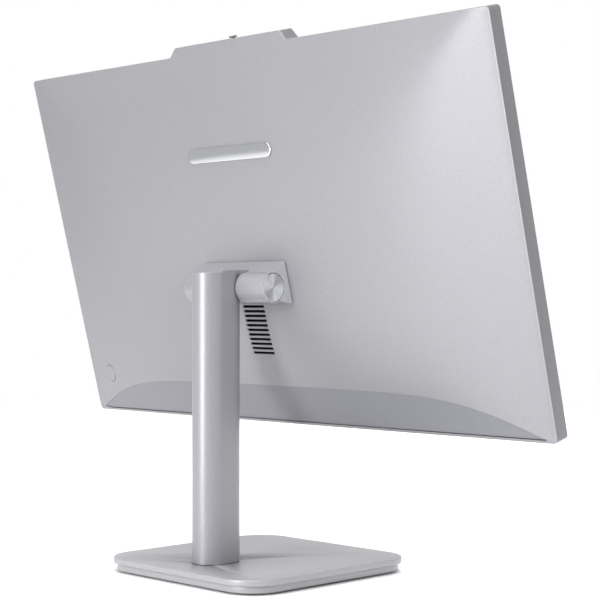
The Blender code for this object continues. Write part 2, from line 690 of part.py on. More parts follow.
def build_rear_cover(finish, rim, chin):
    """The swelling back shell, open at the front and cut off at the chin."""
    cover = add_piece("rear_cover", pillow(0.0, 0.0, 0.0), rim, finish["painted"])
    cut(cover, pillow(FRAME_WALL, COVER_WALL, -0.005, top_inset=FRAME_WALL))
    cut(cover, tongue(), operation="UNION")
    below_chin = box((2 * CASE_WIDTH, 0.06, 0.2), (0, 0.03, 0.0))
    cut(cover, below_chin, parent=chin)
    cut(cover, prism(chin_outline(0.0), -0.02, OVERSHOOT), parent=chin)
    for i in range(VENT_COUNT):
        z = VENT_TOP_Z - i * VENT_PITCH
        cut(cover, box((VENT_SLOT_WIDTH, 0.02, VENT_SLOT_HEIGHT), (0, DOME_DEPTH, z)))
    screw = MOUNT_SCREW_RADIUS + GAP
    for x, z in mount_screw_places():
        cut(cover, rod(screw, DOME_DEPTH - 0.008, DOME_DEPTH + 0.008, "Y", 12, (x, z)))
    return cover


def build_chin(finish, chin):
    """The sloping plate under the rear cover, with its socket openings."""
    outline = prism(chin_outline(GAP), -CHIN_RECESS - CHIN_THICKNESS, -CHIN_RECESS)
    plate = add_piece("chin_cover", outline, chin, finish["painted"])
    for _, x, width, height, _ in chin_sockets():
        cut(plate, box((width + 2 * GAP, 0.02, height + 2 * GAP), (x, 0, chin_port_height())))


def build_side_frame(finish, rim):
    """The thin rim round the display, with the camera bump, the shutter's slot and the bottom openings."""
    frame = add_piece("side_frame", prism(case_outline(), -RIM_DEPTH, -GAP), rim, finish["frame"])
    cut(frame, prism(case_outline(FRAME_WALL), -RIM_DEPTH - OVERSHOOT, OVERSHOOT))
    cut(frame, prism(bump_outline(GAP), -BUMP_BACK_WALL - GAP, OVERSHOOT))
    slot_width = SHUTTER_STEM_WIDTH + SHUTTER_TRAVEL + 2 * RUNNING_GAP
    slot_x = SHUTTER_TRAVEL / 2
    slot = box(
        (slot_width, SHUTTER_STEM_DEPTH + 2 * RUNNING_GAP, 0.008),
        (slot_x, shutter_stem_y(), CASE_HEIGHT + BUMP_HEIGHT),
    )
    cut(frame, slot)
    for x, width, depth in bottom_sockets():
        cut(frame, box((width + 2 * GAP, depth + 2 * GAP, 0.01), (x, BOTTOM_SOCKET_Y, 0)))
    for side in (-1, 1):
        for i in range(BOTTOM_SLOT_COUNT):
            x = side * (SPEAKER_X + (i - (BOTTOM_SLOT_COUNT - 1) / 2) * BOTTOM_SLOT_PITCH)
            cut(frame, box((BOTTOM_SLOT_WIDTH, BOTTOM_SLOT_LENGTH, 0.01), (x, BOTTOM_SOCKET_Y, 0)))


def build_front(finish, rim):
    """The front border, the screen's glass and the panel module behind it."""
    front = -RIM_DEPTH
    border = prism(case_outline(FRAME_WALL + GAP), front, front + BEZEL_THICKNESS)
    bezel = add_piece("front_bezel", border, rim, finish["black"])
    glass_centre_z = BOTTOM_BORDER + SCREEN_HEIGHT / 2
    opening = (SCREEN_WIDTH + 2 * GAP, 0.02, SCREEN_HEIGHT + 2 * GAP)
    cut(bezel, box(opening, (0, front, glass_centre_z)))
    window = rounded(rectangle(WINDOW_HALF_WIDTH + GAP, WINDOW_HEIGHT / 2 + GAP, (0, BUMP_MID_Z)), 0.003)
    cut(bezel, prism(window, front - OVERSHOOT, front + BEZEL_THICKNESS + OVERSHOOT))
    glass = box(
        (SCREEN_WIDTH, GLASS_THICKNESS, SCREEN_HEIGHT),
        (0, front + GAP + GLASS_THICKNESS / 2, glass_centre_z),
    )
    add_piece("screen_glass", glass, rim, finish["screen"])
    lcd = box(
        (SCREEN_WIDTH + 2 * LCD_MARGIN, LCD_THICKNESS, SCREEN_HEIGHT + 2 * LCD_MARGIN),
        (0, LCD_FRONT + LCD_THICKNESS / 2, glass_centre_z),
    )
    add_piece("lcd_module", lcd, rim, finish["steel"])
    plate = box(
        (CASE_WIDTH - 2 * MID_PLATE_MARGIN, MID_PLATE_THICKNESS, SCREEN_HEIGHT - MID_PLATE_MARGIN),
        (0, MID_PLATE_BACK - MID_PLATE_THICKNESS / 2, glass_centre_z),
    )
    add_piece("mid_plate", plate, rim, finish["steel"])


# ---- camera ---------------------------------------------------------------------------------------------
def window_back():
    """The rear face of the camera window."""
    return -RIM_DEPTH + GAP + WINDOW_THICKNESS


def shutter_stem_y():
    """Front to back centre of the shutter's stem."""
    return window_back() + RUNNING_GAP + SHUTTER_STEM_DEPTH / 2 + 0.0025


def build_camera(finish, rim):
    """The camera window, lens, board and the sliding privacy shutter."""
    outline = rounded(rectangle(WINDOW_HALF_WIDTH, WINDOW_HEIGHT / 2, (0, BUMP_MID_Z)), 0.003 - GAP)
    add_piece("camera_window", prism(outline, -RIM_DEPTH + GAP, window_back()), rim, finish["dark_glass"])

    blade_front = window_back() + RUNNING_GAP
    blade_back = blade_front + SHUTTER_THICKNESS
    stem_y = shutter_stem_y()
    top = CASE_HEIGHT + BUMP_HEIGHT
    shutter = add_piece(
        "privacy_shutter",
        box(
            (2 * SHUTTER_HALF_WIDTH, SHUTTER_THICKNESS, SHUTTER_HEIGHT),
            (0, blade_front + SHUTTER_THICKNESS / 2, 0),
        ),
        rim,
        finish["frame"],
        (0, 0, BUMP_MID_Z),
    )
    rise = top + RUNNING_GAP + SHUTTER_TAB_HEIGHT - BUMP_MID_Z
    arm_front = blade_front + SHUTTER_THICKNESS / 4
    arm_back = stem_y + SHUTTER_STEM_DEPTH / 2
    arm_top = SHUTTER_HEIGHT / 2
    at_blade = (0, 0, BUMP_MID_Z)
    arm = box(
        (SHUTTER_STEM_WIDTH, arm_back - arm_front, SHUTTER_THICKNESS),
        (0, (arm_front + arm_back) / 2, arm_top - SHUTTER_THICKNESS),
    )
    cut(shutter, arm, at_blade, "UNION")
    stem = box(
        (SHUTTER_STEM_WIDTH * 0.98, SHUTTER_STEM_DEPTH * 0.98, rise - arm_top + SHUTTER_THICKNESS),
        (0, stem_y, (rise + arm_top - SHUTTER_THICKNESS) / 2 - SHUTTER_THICKNESS / 4),
    )
    cut(shutter, stem, at_blade, "UNION")
    tab = box(
        (SHUTTER_TAB_WIDTH, SHUTTER_TAB_DEPTH, SHUTTER_TAB_HEIGHT),
        (0, stem_y, rise - SHUTTER_TAB_HEIGHT / 2),
    )
    cut(shutter, tab, at_blade, "UNION")
    hole = rod(SHUTTER_HOLE_RADIUS, blade_front - OVERSHOOT, blade_back + GAP, "Y", 16)
    cut(shutter, hole, at_blade)

    lens_front = arm_back + RUNNING_GAP - 0.0018
    lens = rod(LENS_RADIUS, lens_front, lens_front + LENS_LENGTH, "Y", 20, (0, BUMP_MID_Z - 0.0012))
    add_piece("camera_lens", lens, rim, finish["dark_glass"])
    board_front = lens_front + LENS_LENGTH + GAP
    board = box((0.09, 0.001, 0.0078), (0, board_front + 0.0005, BUMP_MID_Z - 0.0012))
    add_piece("camera_board", board, rim, finish["board"])


# ---- rear details ---------------------------------------------------------------------------------------
def mount_screw_places():
    """Where the mount's screws pass through the rear cover into the housing."""
    across = (NOTCH_HALF_WIDTH + HOUSING_HALF_WIDTH) / 2
    rise = HOUSING_RADIUS * 0.98
    return [(sx * across, AXIS_ABOVE_RIM + sz * rise) for sx in (-1, 1) for sz in (-1, 1)]


def build_mount(finish, rim, housing):
    """The steel plate behind the rear cover that the housing is screwed to."""
    skin = COVER_LIP + DOME_DEPTH - COVER_WALL
    back = skin - 3 * GAP - 0.0004
    front = back - MOUNT_PLATE_THICKNESS
    plate = add_piece(
        "mount_plate",
        box((0.11, MOUNT_PLATE_THICKNESS, 0.03), (0, (front + back) / 2, AXIS_ABOVE_RIM + 0.0008)),
        rim,
        finish["steel"],
    )
    tip = COVER_LIP + DOME_DEPTH + 2 * GAP + MOUNT_SCREW_REACH
    for number, place in enumerate(mount_screw_places(), 1):
        clearance = rod(MOUNT_SCREW_RADIUS + GAP, front - OVERSHOOT, tip + GAP, "Y", 12, place)
        cut(plate, clearance.copy())
        cut(housing, clearance, parent=rim)
        head_back = front - GAP
        head = rod(MOUNT_SCREW_HEAD_RADIUS, head_back - MOUNT_SCREW_HEAD_HEIGHT, head_back, "Y", 14, place)
        shank = rod(MOUNT_SCREW_RADIUS, head_back - MOUNT_SCREW_HEAD_HEIGHT / 2, tip, "Y", 12, place)
        cut(add_piece(f"mount_screw_{number}", head, rim, finish["steel"]), shank, operation="UNION")


def build_button(finish, rim, cover):
    """The round power button in the rear cover and the switch behind it."""
    surface = Vector((BUTTON_X, COVER_LIP + dome(BUTTON_X, BUTTON_Z), BUTTON_Z))
    normal = dome_normal(BUTTON_X, BUTTON_Z)
    frame = make_empty("button_frame", rim, surface)
    frame.rotation_mode = "QUATERNION"
    frame.rotation_quaternion = normal.to_track_quat("Y", "Z")
    hole = rod(BUTTON_RADIUS + GAP, -0.012, 0.006, "Y", 32)
    cut(cover, hole, parent=frame)
    button = rod(BUTTON_RADIUS, GAP - BUTTON_THICKNESS, GAP, "Y", 32)
    add_piece("power_button", button, frame, finish["painted"])
    switch_top = GAP - BUTTON_THICKNESS - BUTTON_TRAVEL - GAP
    switch = box((0.006, 0.003, 0.006), (0, switch_top - 0.0015, 0))
    piece = add_piece("button_switch", switch, frame, finish["black"])
    cut(piece, box((0.018, 0.001, 0.012), (0, switch_top - 0.003, 0)), operation="UNION")


def build_back_trim(finish, rim):
    """The plain badge on the back and the dust mesh behind the vent slots."""
    centre = Vector((0, COVER_LIP + dome(0, BADGE_Z), BADGE_Z))
    frame = make_empty("badge_frame", rim, centre)
    frame.rotation_mode = "QUATERNION"
    frame.rotation_quaternion = dome_normal(0, BADGE_Z).to_track_quat("Y", "Z")
    outline = rounded(rectangle(BADGE_WIDTH / 2, BADGE_HEIGHT / 2), BADGE_HEIGHT / 2 * 0.999, 8)
    add_piece("rear_badge", prism(outline, GAP, GAP + BADGE_THICKNESS), frame, finish["bright"])
    height = VENT_COUNT * VENT_PITCH + 0.004
    middle = VENT_TOP_Z - (VENT_COUNT - 1) / 2 * VENT_PITCH
    lowest_skin = COVER_LIP + dome(0, middle - height / 2) - COVER_WALL
    mesh = box(
        (VENT_SLOT_WIDTH + 0.006, VENT_MESH_THICKNESS, height),
        (0, lowest_skin - GAP - VENT_MESH_THICKNESS / 2, middle),
    )
    add_piece("vent_mesh", mesh, rim, finish["black"])


# ---- electronics ----------------------------------------------------------------------------------------
def card(size, x, z, front):
    """A flat board or card, standing with its front face at a depth."""
    width, height, depth = size
    return box((width, depth, height), (x, front + depth / 2, z))


def build_boards(finish, rim):
    """The mainboard and the cards that plug into it."""
    board = card((MAINBOARD_WIDTH, MAINBOARD_HEIGHT, BOARD_THICKNESS), MAINBOARD_X, MAINBOARD_Z, BOARD_FRONT)
    add_piece("mainboard", board, rim, finish["board"])
    above = BOARD_BACK + GAP
    right = MAINBOARD_X + MAINBOARD_WIDTH / 2
    ssd = card((0.08, 0.022, 0.0024), right - 0.046, MAINBOARD_Z - 0.052, above)
    add_piece("ssd_card", ssd, rim, finish["board"])
    memory = card((0.0676, 0.03, 0.0038), right - 0.039, MAINBOARD_Z + 0.047, above)
    add_piece("memory_module", memory, rim, finish["board"])
    wifi = card((0.022, 0.03, 0.0022), right - 0.015, MAINBOARD_Z - 0.018, above)
    add_piece("wifi_card", wifi, rim, finish["board"])


def build_cooling(finish, rim):
    """The cold plate, heat pipe, fins and blower that blow out of the vent slots."""
    plate_front = BOARD_BACK + GAP + 0.001
    plate_back = plate_front + CPU_PLATE_THICKNESS
    plate = card((CPU_PLATE_SIDE, CPU_PLATE_SIDE, CPU_PLATE_THICKNESS), CPU_X, CPU_Z, plate_front)
    add_piece("cpu_cold_plate", plate, rim, finish["copper"])

    middle = VENT_TOP_Z - (VENT_COUNT - 1) / 2 * VENT_PITCH
    fin_low = middle - FIN_COUNT / 2 * FIN_PITCH
    back = MID_PLATE_BACK + GAP + BOARD_STANDOFF
    comb = [(back + 0.0015, fin_low), (back, fin_low)]
    comb += [(back, fin_low + FIN_COUNT * FIN_PITCH), (back + 0.0015, fin_low + FIN_COUNT * FIN_PITCH)]
    for i in reversed(range(FIN_COUNT)):
        z = fin_low + (i + 0.5) * FIN_PITCH
        for side, depth in ((1, 0.0015), (1, FIN_BLOCK_DEPTH), (-1, FIN_BLOCK_DEPTH), (-1, 0.0015)):
            comb.append((back + depth, z + side * FIN_THICKNESS / 2))
    fins = prism(comb, -FIN_BLOCK_HALF_WIDTH, FIN_BLOCK_HALF_WIDTH, "X")
    add_piece("fin_stack", fins, rim, finish["aluminium"])

    pipe_y = plate_back + GAP + HEAT_PIPE_RADIUS
    start = Vector((CPU_X + CPU_PLATE_SIDE / 2 - 0.004, pipe_y, CPU_Z))
    bend = Vector((CPU_X - CPU_PLATE_SIDE / 2 - 0.02, pipe_y, CPU_Z))
    end = Vector((FIN_BLOCK_HALF_WIDTH + HEAT_PIPE_RADIUS / 2, pipe_y, middle))
    route = [start, start.lerp(bend, 0.5)]
    for step in range(9):
        t = step / 8
        early = bend.lerp(Vector((0.044, pipe_y, CPU_Z)), t)
        late = Vector((0.038, pipe_y, middle)).lerp(end, t)
        route.append(early.lerp(late, t))
    add_curve("heat_pipe", route, HEAT_PIPE_RADIUS, rim, finish["copper"])

    fan_front = MID_PLATE_BACK + GAP + 0.0008
    fan_back = fan_front + FAN_DEPTH
    middle_y = (fan_front + fan_back) / 2
    housing = add_piece(
        "fan_housing", box((FAN_SIDE, FAN_DEPTH, FAN_SIDE), (FAN_X, middle_y, FAN_Z)), rim, finish["black"]
    )
    chamber = ROTOR_RADIUS + 0.0015
    cut(housing, rod(chamber, fan_front + FAN_WALL, fan_back - FAN_WALL, "Y", 32, (FAN_X, FAN_Z)))
    outlet_depth = FAN_DEPTH - 2 * FAN_WALL
    outlet_place = (FAN_X + FAN_SIDE / 4 + 0.002, middle_y, FAN_Z - 0.004)
    outlet = box((FAN_SIDE / 2 + 0.004, outlet_depth, 0.04), outlet_place)
    cut(housing, outlet)
    cut(housing, rod(0.02, middle_y, fan_back + OVERSHOOT, "Y", 24, (FAN_X, FAN_Z)))
    build_rotor(finish, rim, middle_y, outlet_depth - 2 * RUNNING_GAP)


def build_rotor(finish, rim, middle_y, depth):
    """The blower's wheel: a hub with straight blades."""
    hub = rod(ROTOR_HUB_RADIUS, -depth / 2, depth / 2, "Y", 24)
    rotor = add_piece("fan_rotor", hub, rim, finish["black"], (FAN_X, middle_y, FAN_Z))
    length = ROTOR_RADIUS - ROTOR_HUB_RADIUS + 0.002
    for i in range(ROTOR_BLADES):
        angle = 2 * math.pi * i / ROTOR_BLADES
        blade = box((length, depth * 0.9, ROTOR_BLADE_THICKNESS), (ROTOR_RADIUS - length / 2, 0, 0))
        spin = Vector((math.cos(angle), math.sin(angle)))
        for vert in blade.verts:
            x, z = vert.co.x, vert.co.z
            vert.co.x, vert.co.z = x * spin.x - z * spin.y, x * spin.y + z * spin.x
        cut(rotor, blade, rotor.location.copy(), "UNION")


def add_curve(name, points, radius, parent, material):
    """A round tube along points."""
    data = bpy.data.curves.new(name, "CURVE")
    data.dimensions = "3D"
    data.bevel_depth = radius
    data.bevel_resolution = 2
    data.use_fill_caps = True
    line = data.splines.new("POLY")
    line.points.add(len(points) - 1)
    for target, point in zip(line.points, points):
        target.co = (*point, 1.0)
    data.materials.append(material)
    made = bpy.data.objects.new(name, data)
    bpy.context.scene.collection.objects.link(made)
    made.parent = parent
    return made


def build_speakers(finish, rim):
    """A closed speaker box on each side."""
    for side, name in ((-1, "speaker_left"), (1, "speaker_right")):
        front = MID_PLATE_BACK + GAP + 0.0005
        body = card((SPEAKER_WIDTH, SPEAKER_HEIGHT, SPEAKER_DEPTH), side * SPEAKER_X, SPEAKER_Z, front)
        piece = add_piece(name, body, rim, finish["black"])
        back = front + SPEAKER_DEPTH
        cone = rod(0.009, back - 0.0015, back + 0.002, "Y", 20, (side * SPEAKER_X, SPEAKER_Z))
        cut(piece, cone)


def hollow_socket(name, size, centre, depth_axis_box, chamber, parent, material):
    """A box socket with its chamber cut out of its mouth."""
    piece = add_piece(name, box(size, centre), parent, material)
    cut(piece, box(*depth_axis_box))
    if chamber is not None:
        cut(piece, box(*chamber), operation="UNION")
    return piece


def build_sockets(finish, rim, chin):
    """The sockets behind the chin and along the bottom edge, with their boards."""
    mouth = -CHIN_RECESS
    z = chin_port_height()
    deep = socket_depth()
    for name, x, width, height, has_tongue in chin_sockets():
        body = ((width, deep, height), (x, mouth - deep / 2, z))
        hollow = (
            (width - 2 * SOCKET_WALL, deep, height - 2 * SOCKET_WALL),
            (x, mouth - deep / 2 + SOCKET_WALL, z),
        )
        tongue_length = deep * 0.85
        tongue_box = (
            (width * 0.72, tongue_length, 0.0012),
            (x, mouth - deep + SOCKET_WALL / 2 + tongue_length / 2, z),
        )
        material = finish["black"] if name == "power_socket" else finish["steel"]
        hollow_socket(name, *body, hollow, tongue_box if has_tongue else None, chin, material)
    board_back = mouth - deep - GAP
    board = box(
        (IO_BOARD_WIDTH, IO_BOARD_THICKNESS, IO_BOARD_HEIGHT),
        (IO_BOARD_X, board_back - IO_BOARD_THICKNESS / 2, z + IO_BOARD_RISE),
    )
    add_piece("io_board", board, chin, finish["board"])

    low, y = 0.0, BOTTOM_SOCKET_Y
    depth = BOTTOM_SOCKET_DEPTH
    inner = (USB_A_SIZE[0] - 2 * SOCKET_WALL, USB_A_SIZE[1] - 2 * SOCKET_WALL, depth)
    for number, x in enumerate(USB_A_X, 1):
        shell = box((USB_A_SIZE[0], USB_A_SIZE[1], depth), (x, y, low + depth / 2))
        usb_a = add_piece(f"usb_a_socket_{number}", shell, rim, finish["steel"])
        cut(usb_a, box(inner, (x, y, low + depth / 2 - SOCKET_WALL)))
        tongue_length = depth - SOCKET_WALL
        tongue_centre = (x, y + 0.0006, low + depth - SOCKET_WALL / 2 - tongue_length / 2)
        cut(usb_a, box((inner[0] * 0.85, 0.0018, tongue_length), tongue_centre), operation="UNION")
    usb_c = rounded(rectangle(USB_C_SIZE[0] / 2, USB_C_SIZE[1] / 2, (USB_C_X, y)), 0.0016)
    socket = add_piece("usb_c_socket", prism(usb_c, low, low + depth, "Z"), rim, finish["steel"])
    bore = rounded(rectangle(USB_C_SIZE[0] / 2 - 0.0006, USB_C_SIZE[1] / 2 - 0.0006, (USB_C_X, y)), 0.0011)
    cut(socket, prism(bore, low - OVERSHOOT, low + depth - SOCKET_WALL, "Z"))
    body = rod(AUDIO_RADIUS, low, low + depth, "Z", 20, (AUDIO_X, y))
    jack = add_piece("audio_socket", body, rim, finish["black"])
    cut(jack, rod(AUDIO_BORE_RADIUS, low - OVERSHOOT, low + depth - SOCKET_WALL, "Z", 16, (AUDIO_X, y)))
    middle = (USB_A_X[0] + AUDIO_X) / 2
    board = box((0.075, 0.0085, 0.001), (middle, y, low + depth + GAP + 0.0005))
    add_piece("port_board", board, rim, finish["board"])


# ---- assembly -------------------------------------------------------------------------------------------
def finishes():
    """The materials of the computer."""
    return {
        "painted": make_material("painted_grey", (0.47, 0.47, 0.49), 0.38, 0.55),
        "frame": make_material("frame_grey", (0.38, 0.38, 0.40), 0.36, 0.6),
        "turned": make_material("turned_aluminium", (0.62, 0.62, 0.64), 0.25, 1.0),
        "bright": make_material("bright_metal", (0.75, 0.75, 0.77), 0.12, 1.0),
        "aluminium": make_material("aluminium", (0.6, 0.6, 0.61), 0.35, 1.0),
        "casting": make_material("zinc_casting", (0.35, 0.35, 0.36), 0.5, 0.9),
        "steel": make_material("zinced_steel", (0.5, 0.5, 0.5), 0.35, 1.0),
        "copper": make_material("copper", (0.72, 0.36, 0.22), 0.3, 1.0),
        "black": make_material("black_plastic", (0.02, 0.02, 0.022), 0.5),
        "rubber": make_material("grey_rubber", (0.06, 0.06, 0.06), 0.85),
        "screen": make_material("screen_glass", (0.008, 0.008, 0.01), 0.12),
        "dark_glass": make_material("dark_glass", (0.01, 0.01, 0.012), 0.08),
        "board": make_material("circuit_board", (0.02, 0.12, 0.06), 0.45),
    }


def main():
    """Build the whole computer."""
    clear_scene()
    finish = finishes()
    build_base(finish)
    build_column(finish)
    build_axle(finish)
    axis_frame = make_empty("tilt_axis", None, (0, AXIS_BEHIND_CENTRE, AXIS_HEIGHT), (-TILT, 0, 0))
    rim = make_empty("rim_frame", axis_frame, (0, -AXIS_BEHIND_RIM, -AXIS_ABOVE_RIM))
    chin = make_empty("chin_frame", rim, (0, COVER_LIP, CHIN_START), (-CHIN_SLOPE, 0, 0))
    build_housing(finish, axis_frame)
    cover = build_rear_cover(finish, rim, chin)
    build_chin(finish, chin)
    build_side_frame(finish, rim)
    build_front(finish, rim)
    build_camera(finish, rim)
    build_mount(finish, rim, bpy.data.objects["hinge_housing"])
    build_button(finish, rim, cover)
    build_back_trim(finish, rim)
    build_boards(finish, rim)
    build_cooling(finish, rim)
    build_speakers(finish, rim)
    build_sockets(finish, rim, chin)


main()
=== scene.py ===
"""Finished look of an all-in-one desktop computer that leans on a column stand.

Every piece is built in metres in the row frame of the CAD model: the screen faces -Y, the back faces +Y and
the base stands on Z = 0. Pieces of the display are drawn in a frame of their own, whose origin is the middle
of the case's lower rear edge, with +Y out of the back and +Z up the display.
"""

from __future__ import annotations

import logging
import math
from dataclasses import dataclass
from enum import Enum
from typing import Iterable, Sequence

import bmesh
import bpy
import numpy as np
from mathutils import Matrix, Vector
from mathutils.geometry import delaunay_2d_cdt


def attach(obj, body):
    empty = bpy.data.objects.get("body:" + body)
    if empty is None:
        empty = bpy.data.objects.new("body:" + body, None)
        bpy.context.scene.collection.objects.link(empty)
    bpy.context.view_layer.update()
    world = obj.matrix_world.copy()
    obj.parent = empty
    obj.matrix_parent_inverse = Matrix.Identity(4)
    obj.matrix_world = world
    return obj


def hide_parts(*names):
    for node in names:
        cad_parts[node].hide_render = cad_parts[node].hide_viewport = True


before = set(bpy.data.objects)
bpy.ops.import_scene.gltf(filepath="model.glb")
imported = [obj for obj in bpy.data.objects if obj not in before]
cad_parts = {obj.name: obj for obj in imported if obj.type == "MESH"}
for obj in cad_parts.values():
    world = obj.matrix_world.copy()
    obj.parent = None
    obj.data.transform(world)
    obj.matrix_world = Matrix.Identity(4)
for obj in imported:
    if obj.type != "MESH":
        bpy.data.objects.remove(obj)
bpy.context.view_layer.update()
LOG = logging.getLogger("computer")
MM = 0.001

Point2 = tuple[float, float]
Ring = list[Vector]


# ---- tools for materials --------------------------------------------------------------------------------
def linear(colour: str) -> tuple[float, float, float, float]:
    """Turn an sRGB hex colour into the linear colour that shaders use.

    Args:
        colour: six hex digits, such as "A0A1A6".

    Returns:
        Red, green, blue and an alpha of 1.
    """
    parts = [int(colour[i : i + 2], 16) / 255 for i in (0, 2, 4)]
    r, g, b = (c / 12.92 if c <= 0.04045 else ((c + 0.055) / 1.055) ** 2.4 for c in parts)
    return (r, g, b, 1.0)


def add_node(
    tree: bpy.types.NodeTree, kind: str, settings: dict | None = None, inputs: dict | None = None
) -> bpy.types.Node:
    """Add a node with its settings, and set or link its inputs.

    Args:
        tree: the node tree that gets the node.
        kind: the node's type, such as "ShaderNodeBump".
        settings: attribute name to value.
        inputs: input name or number to a value, or to the output socket that feeds it.

    Returns:
        The new node.
    """
    made = tree.nodes.new(kind)
    for key, value in (settings or {}).items():
        setattr(made, key, value)
    for key, value in (inputs or {}).items():
        if isinstance(value, bpy.types.NodeSocket):
            tree.links.new(value, made.inputs[key])
        else:
            made.inputs[key].default_value = value
    return made


def new_material(name: str) -> tuple[bpy.types.Material, bpy.types.NodeTree, bpy.types.Node]:
    """Make a material with a Principled shader.

    Args:
        name: the material's name.

    Returns:
        The material, its node tree and its Principled node.
    """
    made = bpy.data.materials.new(name)
    made.use_nodes = True
    return made, made.node_tree, made.node_tree.nodes["Principled BSDF"]


@dataclass(frozen=True)
class SatinPaint:
    """Silver-grey two-coat paint, sprayed: tiny flakes under a satin coat give wide, soft highlights."""

    name: str
    colour: str
    flake_colour: str
    metallic: float = 0.35
    roughness: float = 0.4
    flake_mm: float = 0.9  # real flakes are under 0.1 mm; drawn coarser, so that the grain shows close up
    mottle_mm: float = 60.0

    def make(self) -> bpy.types.Material:
        """Build the material.

        Returns:
            The material.
        """
        made, tree, shader = new_material(self.name)
        place = add_node(tree, "ShaderNodeTexCoord").outputs["Object"]
        flakes = add_node(
            tree,
            "ShaderNodeTexNoise",
            inputs={"Vector": place, "Scale": 1 / (self.flake_mm * MM), "Detail": 2.0, "Roughness": 0.6},
        )
        mottle = add_node(
            tree,
            "ShaderNodeTexNoise",
            inputs={"Vector": place, "Scale": 1 / (self.mottle_mm * MM), "Detail": 3.0},
        )
        spread = add_node(
            tree,
            "ShaderNodeMapRange",
            inputs={"Value": flakes.outputs["Fac"], "From Min": 0.3, "From Max": 0.7},
        )
        colour = add_node(
            tree,
            "ShaderNodeMix",
            {"data_type": "RGBA"},
            {"Factor": spread.outputs["Result"], "A": linear(self.colour), "B": linear(self.flake_colour)},
        )
        rough = add_node(
            tree,
            "ShaderNodeMapRange",
            inputs={
                "Value": mottle.outputs["Fac"],
                "From Min": 0.35,
                "From Max": 0.65,
                "To Min": self.roughness - 0.015,
                "To Max": self.roughness + 0.015,
            },
        )
        bump = add_node(
            tree,
            "ShaderNodeBump",
            inputs={"Height": flakes.outputs["Fac"], "Strength": 0.05, "Distance": 0.00005},
        )
        shader.inputs["Metallic"].default_value = self.metallic
        tree.links.new(colour.outputs["Result"], shader.inputs["Base Color"])
        tree.links.new(rough.outputs["Result"], shader.inputs["Roughness"])
        tree.links.new(bump.outputs["Normal"], shader.inputs["Normal"])
        return made


class Lay(Enum):
    """Which way the tool marks of a metal run."""

    ROUND = "rings about the X axis"
    ALONG = "straight lines"


@dataclass(frozen=True)
class MachinedMetal:
    """Bare metal with tool marks: turned rings stretch highlights into a bow tie, and lines into a streak."""

    name: str
    colour: str
    roughness: float
    lay: Lay
    pitch_mm: float  # spacing of the marks; real ones are near 0.05 mm and are drawn as coarse as shows
    anisotropy: float = 0.0
    depth: float = 0.3
    mark_mm: float = 40.0  # length of a straight mark

    def make(self) -> bpy.types.Material:
        """Build the material.

        Returns:
            The material.
        """
        made, tree, shader = new_material(self.name)
        place = add_node(tree, "ShaderNodeTexCoord").outputs["Object"]
        if self.lay is Lay.ROUND:
            marks = add_node(
                tree,
                "ShaderNodeTexWave",
                {"wave_type": "RINGS", "rings_direction": "X", "wave_profile": "SIN"},
                {"Vector": place, "Scale": 0.314 / (self.pitch_mm * MM), "Distortion": 0.0},
            )
            lines = marks.outputs["Fac"]
            tangent = add_node(tree, "ShaderNodeTangent", {"direction_type": "RADIAL", "axis": "X"})
            tree.links.new(tangent.outputs["Tangent"], shader.inputs["Tangent"])
            shader.inputs["Anisotropic Rotation"].default_value = 0.37
        else:
            across = 1 / (self.pitch_mm * MM)
            along = 1 / (self.mark_mm * MM)
            stretched = add_node(
                tree, "ShaderNodeMapping", inputs={"Vector": place, "Scale": (along, across, across)}
            )
            lines = add_node(
                tree, "ShaderNodeTexNoise", inputs={"Vector": stretched.outputs["Vector"], "Scale": 1.0}
            ).outputs["Fac"]
        rough = add_node(
            tree,
            "ShaderNodeMapRange",
            inputs={"Value": lines, "To Min": self.roughness - 0.04, "To Max": self.roughness + 0.04},
        )
        bump = add_node(
            tree, "ShaderNodeBump", inputs={"Height": lines, "Strength": self.depth, "Distance": 0.00002}
        )
        shader.inputs["Base Color"].default_value = linear(self.colour)
        shader.inputs["Metallic"].default_value = 1.0
        shader.inputs["Anisotropic"].default_value = self.anisotropy
        tree.links.new(rough.outputs["Result"], shader.inputs["Roughness"])
        tree.links.new(bump.outputs["Normal"], shader.inputs["Normal"])
        return made


@dataclass(frozen=True)
class MouldedPlastic:
    """Injection-moulded plastic or rubber: an even colour with the spark-eroded grain of the mould."""

    name: str
    colour: str
    roughness: float
    grain_mm: float
    relief: float = 0.2
    ior: float = 1.46

    def make(self) -> bpy.types.Material:
        """Build the material.

        Returns:
            The material.
        """
        made, tree, shader = new_material(self.name)
        place = add_node(tree, "ShaderNodeTexCoord").outputs["Object"]
        grain = add_node(
            tree,
            "ShaderNodeTexNoise",
            inputs={"Vector": place, "Scale": 1 / (self.grain_mm * MM), "Detail": 2.0},
        )
        rough = add_node(
            tree,
            "ShaderNodeMapRange",
            inputs={
                "Value": grain.outputs["Fac"],
                "To Min": max(0.02, self.roughness - 0.06),
                "To Max": self.roughness + 0.06,
            },
        )
        bump = add_node(
            tree,
            "ShaderNodeBump",
            inputs={"Height": grain.outputs["Fac"], "Strength": self.relief, "Distance": 0.00003},
        )
        shader.inputs["Base Color"].default_value = linear(self.colour)
        shader.inputs["IOR"].default_value = self.ior
        tree.links.new(rough.outputs["Result"], shader.inputs["Roughness"])
        tree.links.new(bump.outputs["Normal"], shader.inputs["Normal"])
        return made


